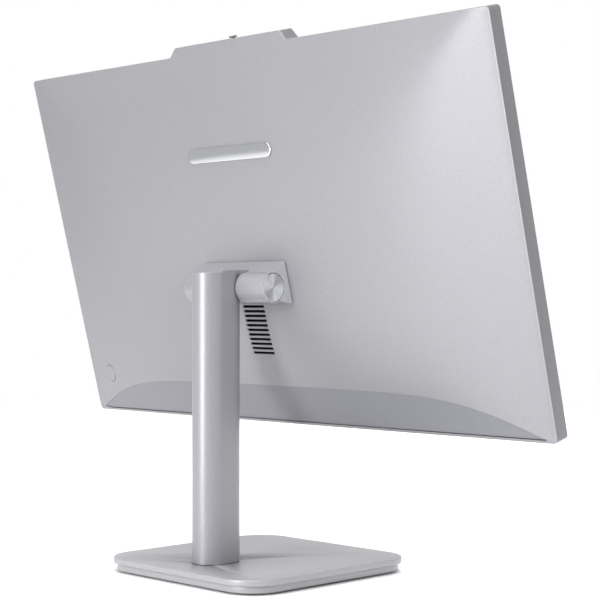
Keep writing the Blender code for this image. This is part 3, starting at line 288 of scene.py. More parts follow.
@dataclass(frozen=True)
class ScreenGlass:
    """Anti-glare display glass, etched: near black when off, with a broad, weak reflection."""

    name: str = "etched_screen_glass"
    colour: str = "0B0B0E"
    cell_colour: str = "121318"
    cell_mm: float = 0.8  # the dots of the screen are 0.27 mm; drawn coarser, so that they show close up

    def make(self) -> bpy.types.Material:
        """Build the material.

        Returns:
            The material.
        """
        made, tree, shader = new_material(self.name)
        place = add_node(tree, "ShaderNodeTexCoord").outputs["Object"]
        cells = add_node(
            tree,
            "ShaderNodeTexVoronoi",
            inputs={"Vector": place, "Scale": 1 / (self.cell_mm * MM), "Randomness": 0.0},
        )
        tint = add_node(
            tree,
            "ShaderNodeMix",
            {"data_type": "RGBA"},
            {"Factor": cells.outputs["Distance"], "A": linear(self.colour), "B": linear(self.cell_colour)},
        )
        rough = add_node(
            tree,
            "ShaderNodeMapRange",
            inputs={"Value": cells.outputs["Distance"], "To Min": 0.2, "To Max": 0.26},
        )
        shader.inputs["IOR"].default_value = 1.5
        tree.links.new(tint.outputs["Result"], shader.inputs["Base Color"])
        tree.links.new(rough.outputs["Result"], shader.inputs["Roughness"])
        return made


@dataclass(frozen=True)
class CircuitBoard:
    """Glass-fibre board under green solder mask: raised copper tracks show through as lighter lines."""

    name: str = "solder_masked_board"
    mask: str = "0E4A2C"
    track: str = "1F6B41"
    track_mm: float = 2.4

    def make(self) -> bpy.types.Material:
        """Build the material.

        Returns:
            The material.
        """
        made, tree, shader = new_material(self.name)
        place = add_node(tree, "ShaderNodeTexCoord").outputs["Object"]
        tracks = add_node(
            tree,
            "ShaderNodeTexBrick",
            inputs={
                "Vector": place,
                "Color1": linear(self.mask),
                "Color2": linear(self.mask),
                "Mortar": linear(self.track),
                "Scale": 1 / (self.track_mm * MM),
                "Mortar Size": 0.08,
            },
        )
        bump = add_node(
            tree,
            "ShaderNodeBump",
            inputs={"Height": tracks.outputs["Fac"], "Strength": 0.4, "Distance": 0.00004},
        )
        shader.inputs["Roughness"].default_value = 0.38
        tree.links.new(tracks.outputs["Color"], shader.inputs["Base Color"])
        tree.links.new(bump.outputs["Normal"], shader.inputs["Normal"])
        return made


class Finishes:
    """The materials of the computer, made once."""

    def __init__(self) -> None:
        """Make each material."""
        # Silver paint on a moulded back: pale grey, with a wide soft sheen and no mirror image.
        self.shell = SatinPaint("satin_silver_paint_on_abs", "838387", "8C8C90", 0.3, 0.42).make()
        # The same paint on the chin, flatter, and darker as painted shade for the downward-facing chin: a
        # darker band that hardly shines.
        self.chin = SatinPaint("satin_paint_on_abs_darkened_as_painted_shade", "74747A", "7D7D83", 0.15, 0.5).make()
        # Paint on the aluminium rim: slightly darker than the back, so that it edges it.
        self.rim = SatinPaint("satin_paint_on_aluminium_rim", "7A7A7E", "838387", 0.35, 0.4).make()
        # Paint on steel: one bright upright streak down the column.
        self.stand = SatinPaint("satin_paint_on_steel", "909095", "99999E", 0.35, 0.38).make()
        # Paint on the base plates: the palest grey, the column's paint made paler as painted light from
        # above, with a soft pool of light.
        self.base = SatinPaint("satin_paint_on_base_paled_as_painted_light", "9E9EA2", "A7A7AB", 0.3, 0.42).make()
        # Turned aluminium: two bright wedges that meet at the centre of the cap.
        self.turned = MachinedMetal("turned_aluminium", "D9DADD", 0.46, Lay.ROUND, 0.35, 0.95).make()
        # Chrome: near a mirror, bright against the painted back.
        self.polished = MachinedMetal(
            "polished_chrome_trim", "D6D7DA", 0.14, Lay.ALONG, 0.4, depth=0.05
        ).make()
        # Zinc plating: a dull, slightly streaked shine.
        self.steel = MachinedMetal("zinc_plated_steel", "A9ABAE", 0.34, Lay.ALONG, 0.3).make()
        # Extruded fins: a plain grey shine with straight streaks.
        self.aluminium = MachinedMetal("extruded_aluminium", "B4B6B9", 0.36, Lay.ALONG, 0.3).make()
        # Cast zinc: dark grey and rough.
        self.casting = MachinedMetal("die_cast_zinc", "7C7D80", 0.5, Lay.ALONG, 1.5).make()
        # Drawn copper: warm orange with a soft streak.
        self.copper = MachinedMetal("drawn_copper", "C77B52", 0.3, Lay.ALONG, 0.4).make()
        # Black ABS: dark and matt.
        self.black = MouldedPlastic("moulded_black_abs", "131314", 0.5, 0.35).make()
        # The border of the screen: black with a little more sheen.
        self.bezel = MouldedPlastic("moulded_black_bezel", "101011", 0.42, 0.3).make()
        # Dust mesh: a real black mesh, made near-black beyond any plastic as painted shade for the depth of
        # the vents, so dark that the vents read as holes.
        self.void = MouldedPlastic("black_dust_mesh_with_painted_hole_shade", "020202", 0.9, 0.5, 0.5).make()
        # Rubber feet: a matt dark line under the base.
        self.rubber = MouldedPlastic("moulded_grey_rubber", "2B2B2D", 0.85, 0.5, 0.4).make()
        # Smoked acrylic: black with a sharp reflection.
        self.window = MouldedPlastic("clear_over_black_pmma", "060608", 0.08, 0.6, 0.02, 1.49).make()
        # Coated glass: black with a blue cast and a small highlight.
        self.lens = MouldedPlastic("coated_lens_glass", "0A0A14", 0.04, 0.6, 0.0, 1.6).make()
        # Screen glass: near black, with a broad, weak reflection.
        self.screen = ScreenGlass().make()
        # Circuit boards: green with lighter tracks.
        self.board = CircuitBoard().make()


# ---- tools for shapes -----------------------------------------------------------------------------------
def finish_piece(
    name: str, mesh: bpy.types.Mesh, place: Matrix, material: bpy.types.Material, sharp: float = 35.0
) -> bpy.types.Object:
    """Make an object of a mesh, smooth but for its sharp edges.

    Args:
        name: the piece's name.
        mesh: its mesh, in its own frame.
        place: its own frame in the row frame.
        material: its finish.
        sharp: edges that turn more than this many degrees stay sharp.

    Returns:
        The object.
    """
    mesh.materials.append(material)
    mesh.shade_smooth()
    mesh.set_sharp_from_angle(angle=math.radians(sharp))
    made = bpy.data.objects.new(name, mesh)
    bpy.context.scene.collection.objects.link(made)
    made.matrix_world = place
    return made


def settle(piece: bpy.types.Object, body: str, slot: str, *nodes: str) -> bpy.types.Object:
    """Tie a piece to its CAD body and let it stand for CAD nodes.

    Args:
        piece: the piece.
        body: the CAD body that it moves with.
        slot: the name of its material slot; not used.
        nodes: the CAD nodes that it stands for, if any.

    Returns:
        The piece.
    """
    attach(piece, body)
    if nodes:
        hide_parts(*nodes)
    LOG.info("built %s on %s", piece.name, body)
    return piece


def loft(name: str, rings: Sequence[Ring], ring_closed: bool = False) -> bpy.types.Mesh:
    """Skin a row of closed rings.

    Args:
        name: the mesh's name.
        rings: rings of the same number of points.
        ring_closed: True joins the last ring to the first; False closes both ends with a face.

    Returns:
        The closed mesh, facing out.
    """
    shape = bmesh.new()
    rows = [[shape.verts.new(p) for p in ring] for ring in rings]
    pairs = list(zip(rows, rows[1:] + rows[:1])) if ring_closed else list(zip(rows, rows[1:]))
    for low, high in pairs:
        for i in range(len(low)):
            j = (i + 1) % len(low)
            shape.faces.new((low[i], low[j], high[j], high[i]))
    if not ring_closed:
        shape.faces.new(rows[0])
        shape.faces.new(rows[-1])
    bmesh.ops.recalc_face_normals(shape, faces=shape.faces)
    if shape.calc_volume(signed=True) < 0:
        bmesh.ops.reverse_faces(shape, faces=shape.faces)
    mesh = bpy.data.meshes.new(name)
    shape.to_mesh(mesh)
    shape.free()
    return mesh


@dataclass
class Outline:
    """A closed outline of points, each with its outward direction, so that it can be grown or shrunk."""

    points: np.ndarray
    normals: np.ndarray

    @classmethod
    def rounded(
        cls, corners: Sequence[Point2], radii: Sequence[float], steps: int = 8, longest: float = 1.0
    ) -> "Outline":
        """Round the corners of an anticlockwise polygon.

        Args:
            corners: the polygon's corners.
            radii: the radius of each corner.
            steps: pieces in each rounded corner.
            longest: straight edges are divided so that no piece is longer than this.

        Returns:
            The outline.
        """
        points: list[Vector] = []
        normals: list[Vector] = []
        count = len(corners)
        for i, corner in enumerate(corners):
            here = Vector(corner)
            back = (Vector(corners[i - 1]) - here).normalized()
            ahead = (Vector(corners[(i + 1) % count]) - here).normalized()
            half = math.acos(max(-1.0, min(1.0, back.dot(ahead)))) / 2
            convex = back.x * ahead.y - back.y * ahead.x < 0
            centre = here + (back + ahead).normalized() * (radii[i] / math.sin(half))
            start = here + back * (radii[i] / math.tan(half)) - centre
            end = here + ahead * (radii[i] / math.tan(half)) - centre
            sweep = math.pi - 2 * half
            arc = []
            for step in range(steps + 1):
                t = step / steps
                spoke = (start * math.sin((1 - t) * sweep) + end * math.sin(t * sweep)) / math.sin(sweep)
                arc.append((centre + spoke, spoke.normalized() if convex else -spoke.normalized()))
            if points:
                run = arc[0][0] - points[-1]
                parts = max(1, math.ceil(run.length / longest))
                for _ in range(1, parts):
                    points.append(points[-1] + run / parts)
                    normals.append(arc[0][1])
            for point, normal in arc:
                points.append(point)
                normals.append(normal)
        run = points[0] - points[-1]
        parts = max(1, math.ceil(run.length / longest))
        for _ in range(1, parts):
            points.append(points[-1] + run / parts)
            normals.append(normals[0])
        return cls(np.array([tuple(p) for p in points]), np.array([tuple(n) for n in normals]))

    @classmethod
    def circle(cls, radius: float, steps: int, centre: Point2 = (0.0, 0.0)) -> "Outline":
        """A round outline.

        Args:
            radius: its radius.
            steps: the number of points.
            centre: its centre.

        Returns:
            The outline.
        """
        turns = np.linspace(0, 2 * math.pi, steps, endpoint=False)
        normals = np.stack([np.cos(turns), np.sin(turns)], axis=1)
        return cls(normals * radius + np.array(centre), normals)

    def grown(self, amount: float) -> np.ndarray:
        """The points moved outwards by an amount, or inwards by a negative one."""
        return self.points + self.normals * amount


def turned_edge(radius: float, steps: int = 4) -> list[Point2]:
    """Points of a quarter round, as (inset, drop) from the sharp corner's two faces.

    Args:
        radius: the radius of the round.
        steps: the number of pieces.

    Returns:
        The points, from the most inset to the most drop.
    """
    angles = [math.pi / 2 * i / steps for i in range(steps + 1)]
    return [(radius * (1 - math.sin(a)), radius * (1 - math.cos(a))) for a in angles]


def plate_rings(outline: Outline, low: float, high: float, low_edge: float, high_edge: float) -> list[Ring]:
    """Rings of a flat plate with rounded edges, lying in X, Y between two heights.

    Args:
        outline: the plate's outline.
        low: the height of its lower face.
        high: the height of its upper face.
        low_edge: the radius of its lower edge.
        high_edge: the radius of its upper edge.

    Returns:
        The rings, from the bottom up.
    """
    rings = []
    for inset, drop in turned_edge(low_edge):
        rings.append([Vector((x, y, low + drop)) for x, y in outline.grown(-inset)])
    for inset, drop in reversed(turned_edge(high_edge)):
        rings.append([Vector((x, y, high - drop)) for x, y in outline.grown(-inset)])
    return rings


class Axis(Enum):
    """The axis that a piece is turned about."""

    X = "across the case"
    Y = "out of the back"


def turned_profile(rows: Sequence[Point2], steps: int, axis: Axis = Axis.X) -> list[Ring]:
    """Rings of a turned piece from (position along the axis, radius) rows.

    Args:
        rows: positions along the axis, each with a radius.
        steps: the number of points in a ring.
        axis: the axis that the piece is turned about.

    Returns:
        The rings, in the order of the rows.
    """
    rings = []
    for along, radius in rows:
        ring = []
        for i in range(steps):
            a = 2 * math.pi * i / steps
            u, v = radius * math.cos(a), radius * math.sin(a)
            ring.append(Vector((along, u, v)) if axis is Axis.X else Vector((u, along, v)))
        rings.append(ring)
    return rings


def subtract(piece: bpy.types.Object, cutter: bpy.types.Mesh, place: Matrix) -> None:
    """Cut a mesh out of a piece for good.

    Args:
        piece: the piece that is cut.
        cutter: the mesh to take away, in a frame of its own.
        place: that frame in the row frame.
    """
    tool = bpy.data.objects.new("tool", cutter)
    bpy.context.scene.collection.objects.link(tool)
    tool.matrix_world = place
    step = piece.modifiers.new("cut", "BOOLEAN")
    step.object = tool
    step.operation = "DIFFERENCE"
    step.solver = "EXACT"
    view = bpy.context.evaluated_depsgraph_get()
    made = bpy.data.meshes.new_from_object(piece.evaluated_get(view))
    piece.modifiers.remove(step)
    old = piece.data
    piece.data = made
    made.name = old.name
    bpy.data.meshes.remove(old)
    bpy.data.objects.remove(tool)


def block(low: Sequence[float], high: Sequence[float]) -> bpy.types.Mesh:
    """A plain block between two corners, used as a cutting tool.

    Args:
        low: the corner with the smallest coordinates.
        high: the opposite corner.

    Returns:
        The mesh.
    """
    (x0, y0, z0), (x1, y1, z1) = low, high
    rings = [[Vector((x, y, z)) for x, y in ((x0, y0), (x1, y0), (x1, y1), (x0, y1))] for z in (z0, z1)]
    return loft("block", rings)


def round_edges(piece: bpy.types.Object, width: float, segments: int = 3, angle: float = 35.0) -> None:
    """Round the sharp edges of a piece, keeping its flat faces flat.

    Args:
        piece: the piece.
        width: how wide the rounding is.
        segments: the number of pieces in it.
        angle: edges that turn more than this many degrees are rounded.
    """
    bevel = piece.modifiers.new("edges", "BEVEL")
    bevel.width = width
    bevel.segments = segments
    bevel.limit_method = "ANGLE"
    bevel.angle_limit = math.radians(angle)
    bevel.harden_normals = False
    weighted = piece.modifiers.new("normals", "WEIGHTED_NORMAL")
    weighted.keep_sharp = True


# ---- the display's case ---------------------------------------------------------------------------------
@dataclass
class Case:
    """The display's outer shape, with the swelling back and the sloping chin."""

    width: float = 0.541
    height: float = 0.3193
    rim_depth: float = 0.013
    frame_wall: float = 0.002
    lip: float = 0.0012
    gap: float = 0.0003
    corner: float = 0.0032
    bump_base: float = 0.0695
    bump_top: float = 0.0635
    bump_height: float = 0.0078
    bump_corner: float = 0.0024
    dome_depth: float = 0.0242
    dome_margin: float = 0.0025
    dome_peak: float = 0.100
    reach_down: float = 0.1098
    reach_up: float = 0.2265
    power_down: float = 1.95
    power_up: float = 2.94
    side_slope: float = 0.23
    blend: float = 4.1
    chin_slope: float = math.radians(23)
    chin_start: float = 0.00015
    chin_end: float = 0.001  # height of the chin's two blunt ends
    chin_low_steps: int = 60
    chin_arch_steps: int = 90
    tilt: float = math.radians(14.57)
    axis: tuple[float, float, float] = (0.0, 0.0269, 0.2337)
    axis_behind: float = 0.0427
    axis_above: float = 0.1298
    button: Point2 = (0.2332, 0.0396)

    def tilt_place(self) -> Matrix:
        """The hinge's frame, turned with the display, in the row frame."""
        return Matrix.Translation(self.axis) @ Matrix.Rotation(-self.tilt, 4, "X")

    def rim_place(self) -> Matrix:
        """The case's frame in the row frame."""
        return self.tilt_place() @ Matrix.Translation((0, -self.axis_behind, -self.axis_above))

    def outline(self, longest: float = 0.008) -> Outline:
        """The case seen from behind, with the camera bump on top, in X, Z.

        Args:
            longest: straight edges are divided so that no piece is longer than this.

        Returns:
            The outline, anticlockwise.
        """
        half, top = self.width / 2, self.height
        corners = [
            (-half, 0.0),
            (half, 0.0),
            (half, top),
            (self.bump_base, top),
            (self.bump_top, top + self.bump_height),
            (-self.bump_top, top + self.bump_height),
            (-self.bump_base, top),
            (-half, top),
        ]
        c, b = self.corner, self.bump_corner
        return Outline.rounded(corners, [c, c, c, b, b, b, b, c], 6, longest)

    def dome(self, x: np.ndarray, z: np.ndarray) -> np.ndarray:
        """How far the back swells past its lip.

        Args:
            x: places across the case.
            z: heights up the case.

        Returns:
            The swelling at each place.
        """
        x, z = np.asarray(x, float), np.asarray(z, float)
        half = self.width / 2 - self.dome_margin
        down = (np.clip(self.dome_peak - z, 0, None) / self.reach_down) ** self.power_down
        up = (np.clip(z - self.dome_peak, 0, None) / self.reach_up) ** self.power_up
        level = np.clip(self.dome_depth * (1 - down - up), 1e-9, None)
        side = self.side_slope * np.clip(half - np.abs(x), 0, None) / level
        middle = self.side_slope * half / level
        return level * self.blended(side) / self.blended(middle)

    def blended(self, ratio: np.ndarray) -> np.ndarray:
        """A ratio that follows itself while it is small and levels off at 1."""
        return ratio / (1 + ratio**self.blend) ** (1 / self.blend)

    def back(self, x: np.ndarray, z: np.ndarray) -> np.ndarray:
        """Depth of the rear surface, where the chin's slope cuts the swelling off."""
        slope = np.clip(np.asarray(z, float) - self.chin_start, 0, None) * math.tan(self.chin_slope)
        return self.lip + np.minimum(self.dome(x, z), slope)

    def back_normals(self, x: np.ndarray, z: np.ndarray) -> np.ndarray:
        """Outward directions of the swelling.

        Args:
            x: places across the case.
            z: heights up the case.

        Returns:
            One unit vector for each place.
        """
        step = 0.0004
        dx = (self.dome(x + step, z) - self.dome(x - step, z)) / (2 * step)
        dz = (self.dome(x, z + step) - self.dome(x, z - step)) / (2 * step)
        normals = np.stack([-dx, np.ones_like(dx), -dz], axis=1)
        return normals / np.linalg.norm(normals, axis=1, keepdims=True)

    def chin_edge(self, x: float) -> float:
        """Height up the case where the chin meets the swelling.

        Args:
            x: the place across the case.

        Returns:
            The height.
        """
        low, high = 0.0, self.dome_peak
        for _ in range(40):
            middle = (low + high) / 2
            if float(self.dome(x, middle)) > (middle - self.chin_start) * math.tan(self.chin_slope):
                low = middle
            else:
                high = middle
        return low

    def chin_loop(self) -> list[Point2]:
        """The chin's outline in X, Z of the case, anticlockwise from its lower left corner.

        Returns:
            The points.
        """
        low = self.frame_wall + self.gap
        reach = self.width / 2 - self.dome_margin
        while self.chin_edge(reach) < low + self.chin_end:
            reach -= 0.0002
        loop = [(reach * (2 * i / self.chin_low_steps - 1), low) for i in range(self.chin_low_steps)]
        for i in range(self.chin_arch_steps + 1):
            x = reach * math.sin(math.pi * (0.5 - i / self.chin_arch_steps))
            loop.append((x, self.chin_edge(x)))
        return loop


@dataclass
class RearShell:
    """The painted back cover: one thin skin with the vents, the button's hole and the chin's opening."""

    case: Case
    wall: float = 0.001
    edge: float = 0.0005
    hole_edge: float = 0.00022
    columns: int = 64
    rows: int = 40
    vent_count: int = 11
    vent_pitch: float = 0.00403
    vent_size: Point2 = (0.0256, 0.0021)
    vent_top: float = 0.1094
    button_radius: float = 0.0083
    vent_corner: float = 0.0005
    chin_edge: float = 0.0001
    edge_steps: int = 3
    foot_steps: int = 80
    clearance: float = 0.0016  # from a grid point of the skin to the nearest border
    row_growth: float = 1.2  # packs the rows towards the lower edge

    def loops(self) -> list[tuple[np.ndarray, np.ndarray, float]]:
        """Each border of the skin as points, directions away from the skin, and its edge radius.

        Returns:
            The borders of the case, of each vent, of the button's hole and of the chin's opening.
        """
        outline = self.case.outline()
        made = [(outline.grown(-self.edge), outline.normals, self.edge)]
        w, h = self.vent_size[0] / 2, self.vent_size[1] / 2
        for i in range(self.vent_count):
            z = self.vent_top - i * self.vent_pitch
            corners = [(-w, z - h), (w, z - h), (w, z + h), (-w, z + h)]
            slot = Outline.rounded(corners, [self.vent_corner] * 4, 4, 0.006)
            made.append((slot.grown(self.hole_edge)[::-1], -slot.normals[::-1], self.hole_edge))
        hole = Outline.circle(self.button_radius, 64, self.case.button)
        made.append((hole.grown(self.hole_edge)[::-1], -hole.normals[::-1], self.hole_edge))
        chin = np.array(self.case.chin_loop())
        after, before = np.roll(chin, -1, axis=0), np.roll(chin, 1, axis=0)
        run = after - before
        normals = np.stack([run[:, 1], -run[:, 0]], axis=1)
        normals /= np.linalg.norm(normals, axis=1, keepdims=True)
        made.append((chin[::-1], -normals[::-1], self.chin_edge))
        return made

    def foot_lines(self) -> list[np.ndarray]:
        """The two lines along the sides where the swelling rises from the flat lip.

        Returns:
            The points of each line.
        """
        half = self.case.width / 2 - self.case.dome_margin
        zs = np.linspace(0.004, self.case.height - 0.0042, self.foot_steps)
        return [np.stack([np.full_like(zs, side * half), zs], axis=1) for side in (-1, 1)]

    def inner_points(self, borders: np.ndarray) -> np.ndarray:
        """Grid points of the skin that keep clear of its borders.

        Args:
            borders: every border point, so that no grid point crowds one.

        Returns:
            The points kept.
        """
        half = self.case.width / 2 - self.case.dome_margin
        xs = half * np.sin(np.linspace(-math.pi / 2, math.pi / 2, self.columns + 1))
        top = self.case.height + self.case.bump_height
        zs = top * np.linspace(0, 1, self.rows + 1) ** self.row_growth
        grid = np.array([(x, z) for x in xs[1:-1] for z in zs])
        gaps = np.empty(len(grid))
        for start in range(0, len(grid), 500):
            part = grid[start : start + 500]
            squares = ((part[:, None, :] - borders[None, :, :]) ** 2).sum(-1)
            gaps[start : start + 500] = np.sqrt(squares).min(1)
        return grid[gaps > self.clearance]

    @staticmethod
    def inside(points: np.ndarray, loops: Iterable[np.ndarray]) -> np.ndarray:
        """Which points lie on the skin, by counting the borders that a ray crosses.

        Args:
            points: the points to test.
            loops: the borders.

        Returns:
            True for each point that lies on the skin.
        """
        crossed = np.zeros(len(points), bool)
        for loop in loops:
            a, b = loop, np.roll(loop, -1, axis=0)
            for (x0, z0), (x1, z1) in zip(a, b):
                spans = (z0 > points[:, 1]) != (z1 > points[:, 1])
                if not spans.any():
                    continue
                at = (x1 - x0) * (points[:, 1] - z0) / (z1 - z0 + 1e-30) + x0
                crossed ^= spans & (points[:, 0] < at)
        return crossed

    def build(self, finish: Finishes) -> bpy.types.Object:
        """Build the cover.

        Args:
            finish: the materials.

        Returns:
            The cover.
        """
        borders = self.loops()
        sizes = [len(points) for points, _, _ in borders]
        starts = np.concatenate([[0], np.cumsum(sizes)])
        rim = np.concatenate([points for points, _, _ in borders])
        feet = self.foot_lines()
        flat = np.concatenate([rim, *feet, self.inner_points(rim)])
        edges = []
        for start, size in zip(starts, sizes):
            edges += [(int(start + i), int(start + (i + 1) % size)) for i in range(size)]
        first = len(rim)
        for line in feet:
            edges += [(first + i, first + i + 1) for i in range(len(line) - 1)]
            first += len(line)
        verts, _, faces, source, _, _ = delaunay_2d_cdt([Vector(p) for p in flat], edges, [], 0, 1e-7)
        flat = np.array([tuple(v) for v in verts])
        index = {old: new for new, olds in enumerate(source) for old in olds}
        triangles = np.array([f for f in faces if len(f) == 3])
        keep = self.inside(flat[triangles].mean(1), [points for points, _, _ in borders])
        triangles = triangles[keep]
        depth = self.case.back(flat[:, 0], flat[:, 1])

        shape = bmesh.new()
        outer = [shape.verts.new((x, y, z)) for (x, z), y in zip(flat, depth)]
        inner = [shape.verts.new((x, y - self.wall, z)) for (x, z), y in zip(flat, depth)]
        for a, b, c in triangles:
            shape.faces.new((outer[a], outer[c], outer[b]))
            shape.faces.new((inner[a], inner[b], inner[c]))
        for number, (points, normals, radius) in enumerate(borders):
            ids = [index[int(starts[number] + i)] for i in range(len(points))]
            last = [outer[i] for i in ids]
            steps = self.edge_steps
            for k in range(1, steps + 2):
                turn = min(k, steps) / steps * math.pi / 2
                out, drop = radius * math.sin(turn), radius * (1 - math.cos(turn))
                row = []
                for i, (x, z), (nx, nz) in zip(ids, points, normals):
                    y = depth[i] - drop
                    if k > steps:
                        y = self.case.gap / 2 if number == 0 else depth[i] - self.wall
                    row.append(shape.verts.new((x + nx * out, y, z + nz * out)))
                self.bridge(shape, last, row)
                last = row
            self.bridge(shape, last, [inner[i] for i in ids])
        loose = [v for v in shape.verts if not v.link_faces]
        bmesh.ops.delete(shape, geom=loose, context="VERTS")
        bmesh.ops.recalc_face_normals(shape, faces=shape.faces)
        mesh = bpy.data.meshes.new("rear_shell")
        shape.to_mesh(mesh)
        shape.free()
        made = finish_piece("rear_shell", mesh, self.case.rim_place(), finish.shell, 40)
        self.true_normals(mesh)
        return settle(made, "display", "painted_shell", "rear_cover")

    @staticmethod
    def bridge(shape: bmesh.types.BMesh, first: list, second: list) -> None:
        """Join two rows of points with faces.

        Args:
            shape: the mesh that gets the faces.
            first: one closed row.
            second: the other, with as many points.
        """
        for i in range(len(first)):
            j = (i + 1) % len(first)
            shape.faces.new((first[i], first[j], second[j], second[i]))

    def true_normals(self, mesh: bpy.types.Mesh) -> None:
        """Give the rear surface the exact directions of its curve, so that highlights run clean.

        Args:
            mesh: the cover's mesh.
        """
        spots = np.array([tuple(vert.co) for vert in mesh.vertices])
        normals = np.array([tuple(corner.vector) for corner in mesh.corner_normals])
        rise = self.case.lip + self.case.dome(spots[:, 0], spots[:, 2])
        on_skin = np.abs(spots[:, 1] - rise) < 2e-6
        true = self.case.back_normals(spots[:, 0], spots[:, 2])
        half = self.case.width / 2 - self.case.dome_margin
        for face in mesh.polygons:
            ids = list(face.vertices)
            if not on_skin[ids].all() or face.normal.y <= 0 or abs(face.center.x) > half - 1e-5:
                continue
            for loop, vert in zip(face.loop_indices, ids):
                normals[loop] = true[vert]
        mesh.normals_split_custom_set([tuple(n) for n in normals])


@dataclass
class SideFrame:
    """The thin painted rim round the display, with the openings along its lower edge."""

    case: Case
    back_edge: float = 0.0003
    front_edge: float = 0.0008
    socket_y: float = -0.0062
    sockets: tuple[tuple[float, float, float, float], ...] = (  # place, width, depth, corner radius
        (-0.118, 0.0147, 0.0068, 0.0004),
        (-0.098, 0.0147, 0.0068, 0.0004),
        (-0.080, 0.0104, 0.0046, 0.0018),
        (-0.066, 0.0066, 0.0066, 0.0032),
    )
    speaker_x: float = 0.165
    slot_count: int = 16
    slot_pitch: float = 0.005
    slot: tuple[float, float, float] = (0.0016, 0.007, 0.00078)
    shutter_x: float = 0.004
    shutter_half: float = 0.0059
    shutter_depths: Point2 = (-0.0099, -0.0074)

    def build(self, finish: Finishes) -> bpy.types.Object:
        """Build the rim.

        Args:
            finish: the materials.

        Returns:
            The rim.
        """
        outline = self.case.outline(0.05)
        gap, front, wall = self.case.gap, -self.case.rim_depth, self.case.frame_wall
        rows = [(inset, -gap / 2 - drop) for inset, drop in turned_edge(self.back_edge, 3)]
        rows += [(inset, front + drop) for inset, drop in reversed(turned_edge(self.front_edge, 4))]
        rows += [(wall, front), (wall, -gap / 2)]
        rings = [[Vector((x, y, z)) for x, z in outline.grown(-inset)] for inset, y in rows]
        place = self.case.rim_place()
        made = finish_piece("side_rim", loft("side_rim", rings, True), place, finish.rim)
        for socket in self.sockets:
            self.open(made, *socket)
        for side in (-1, 1):
            for i in range(self.slot_count):
                x = side * (self.speaker_x + (i - (self.slot_count - 1) / 2) * self.slot_pitch)
                self.open(made, x, *self.slot)
        top = self.case.height + self.case.bump_height
        low, high = self.shutter_depths
        left, right = self.shutter_x - self.shutter_half, self.shutter_x + self.shutter_half
        subtract(made, block((left, low, top - 0.004), (right, high, top + 0.001)), place)
        return settle(made, "display", "frame_grey", "side_frame")

    def open(self, piece: bpy.types.Object, x: float, width: float, depth: float, radius: float) -> None:
        """Cut one opening through the lower edge of the rim.

        Args:
            piece: the rim.
            x: the opening's place across the case.
            width: its size across the case.
            depth: its size from front to back.
            radius: its corner radius.
        """
        w, d = width / 2, depth / 2
        y = self.socket_y
        corners = [(x - w, y - d), (x + w, y - d), (x + w, y + d), (x - w, y + d)]
        outline = Outline.rounded(corners, [radius] * 4, 4)
        rings = [[Vector((px, py, z)) for px, py in outline.points] for z in (-0.001, 0.003)]
        subtract(piece, loft("opening", rings), self.case.rim_place())


# ---- small pieces of the back ---------------------------------------------------------------------------
@dataclass
class BackTrim:
    """The power button and the plain badge on the back."""

    case: Case
    button_radius: float = 0.008
    badge_z: float = 0.237
    badge_size: Point2 = (0.1, 0.012)

    def surface_place(self, x: float, z: float) -> Matrix:
        """A frame on the back at a spot, with +Y pointing out of the surface.

        Args:
            x: the spot's place across the case.
            z: its height up the case.

        Returns:
            The frame, in the row frame.
        """
        normal = Vector(self.case.back_normals(np.array([x]), np.array([z]))[0])
        spot = Vector((x, float(self.case.lip + self.case.dome(x, z)), z))
        turn = normal.to_track_quat("Y", "Z").to_matrix().to_4x4()
        return self.case.rim_place() @ Matrix.Translation(spot) @ turn

    def build_button(self, finish: Finishes) -> bpy.types.Object:
        """Build the round button: a flat-topped disc with a soft edge.

        Args:
            finish: the materials.

        Returns:
            The button.
        """
        r = self.button_radius
        rows = [(-0.0029, r - 0.0003), (-0.0029, r), (-0.0004, r)]
        rows += [(0.0003 - drop, r - inset) for inset, drop in turned_edge(0.0006, 4)][::-1]
        rows += [(0.00032, r * 0.6), (0.00033, r * 0.1)]
        mesh = loft("power_button_cap", turned_profile(rows, 64, Axis.Y))
        made = finish_piece("power_button_cap", mesh, self.surface_place(*self.case.button), finish.shell)
        return settle(made, "power_button", "painted_shell", "power_button")

    def build_badge(self, finish: Finishes) -> bpy.types.Object:
        """Build the badge: a plain polished bar with round ends and a soft edge.

        Args:
            finish: the materials.

        Returns:
            The badge.
        """
        w, h = self.badge_size[0] / 2, self.badge_size[1] / 2
        corners = [(-w, -h), (w, -h), (w, h), (-w, h)]
        outline = Outline.rounded(corners, [h * 0.998] * 4, 12)
        rings = []
        for inset, drop in turned_edge(0.0003, 2):
            rings.append([Vector((x, 0.0003 + drop, z)) for x, z in outline.grown(-inset)])
        for inset, drop in reversed(turned_edge(0.0006, 4)):
            rings.append([Vector((x, 0.0015 - drop, z)) for x, z in outline.grown(-inset)])
        place = self.surface_place(0, self.badge_z)
        made = finish_piece("plain_badge", loft("plain_badge", rings), place, finish.polished)
        return settle(made, "display", "bright_metal", "rear_badge")

    def build(self, finish: Finishes) -> list[bpy.types.Object]:
        """Build both."""
        return [self.build_button(finish), self.build_badge(finish)]


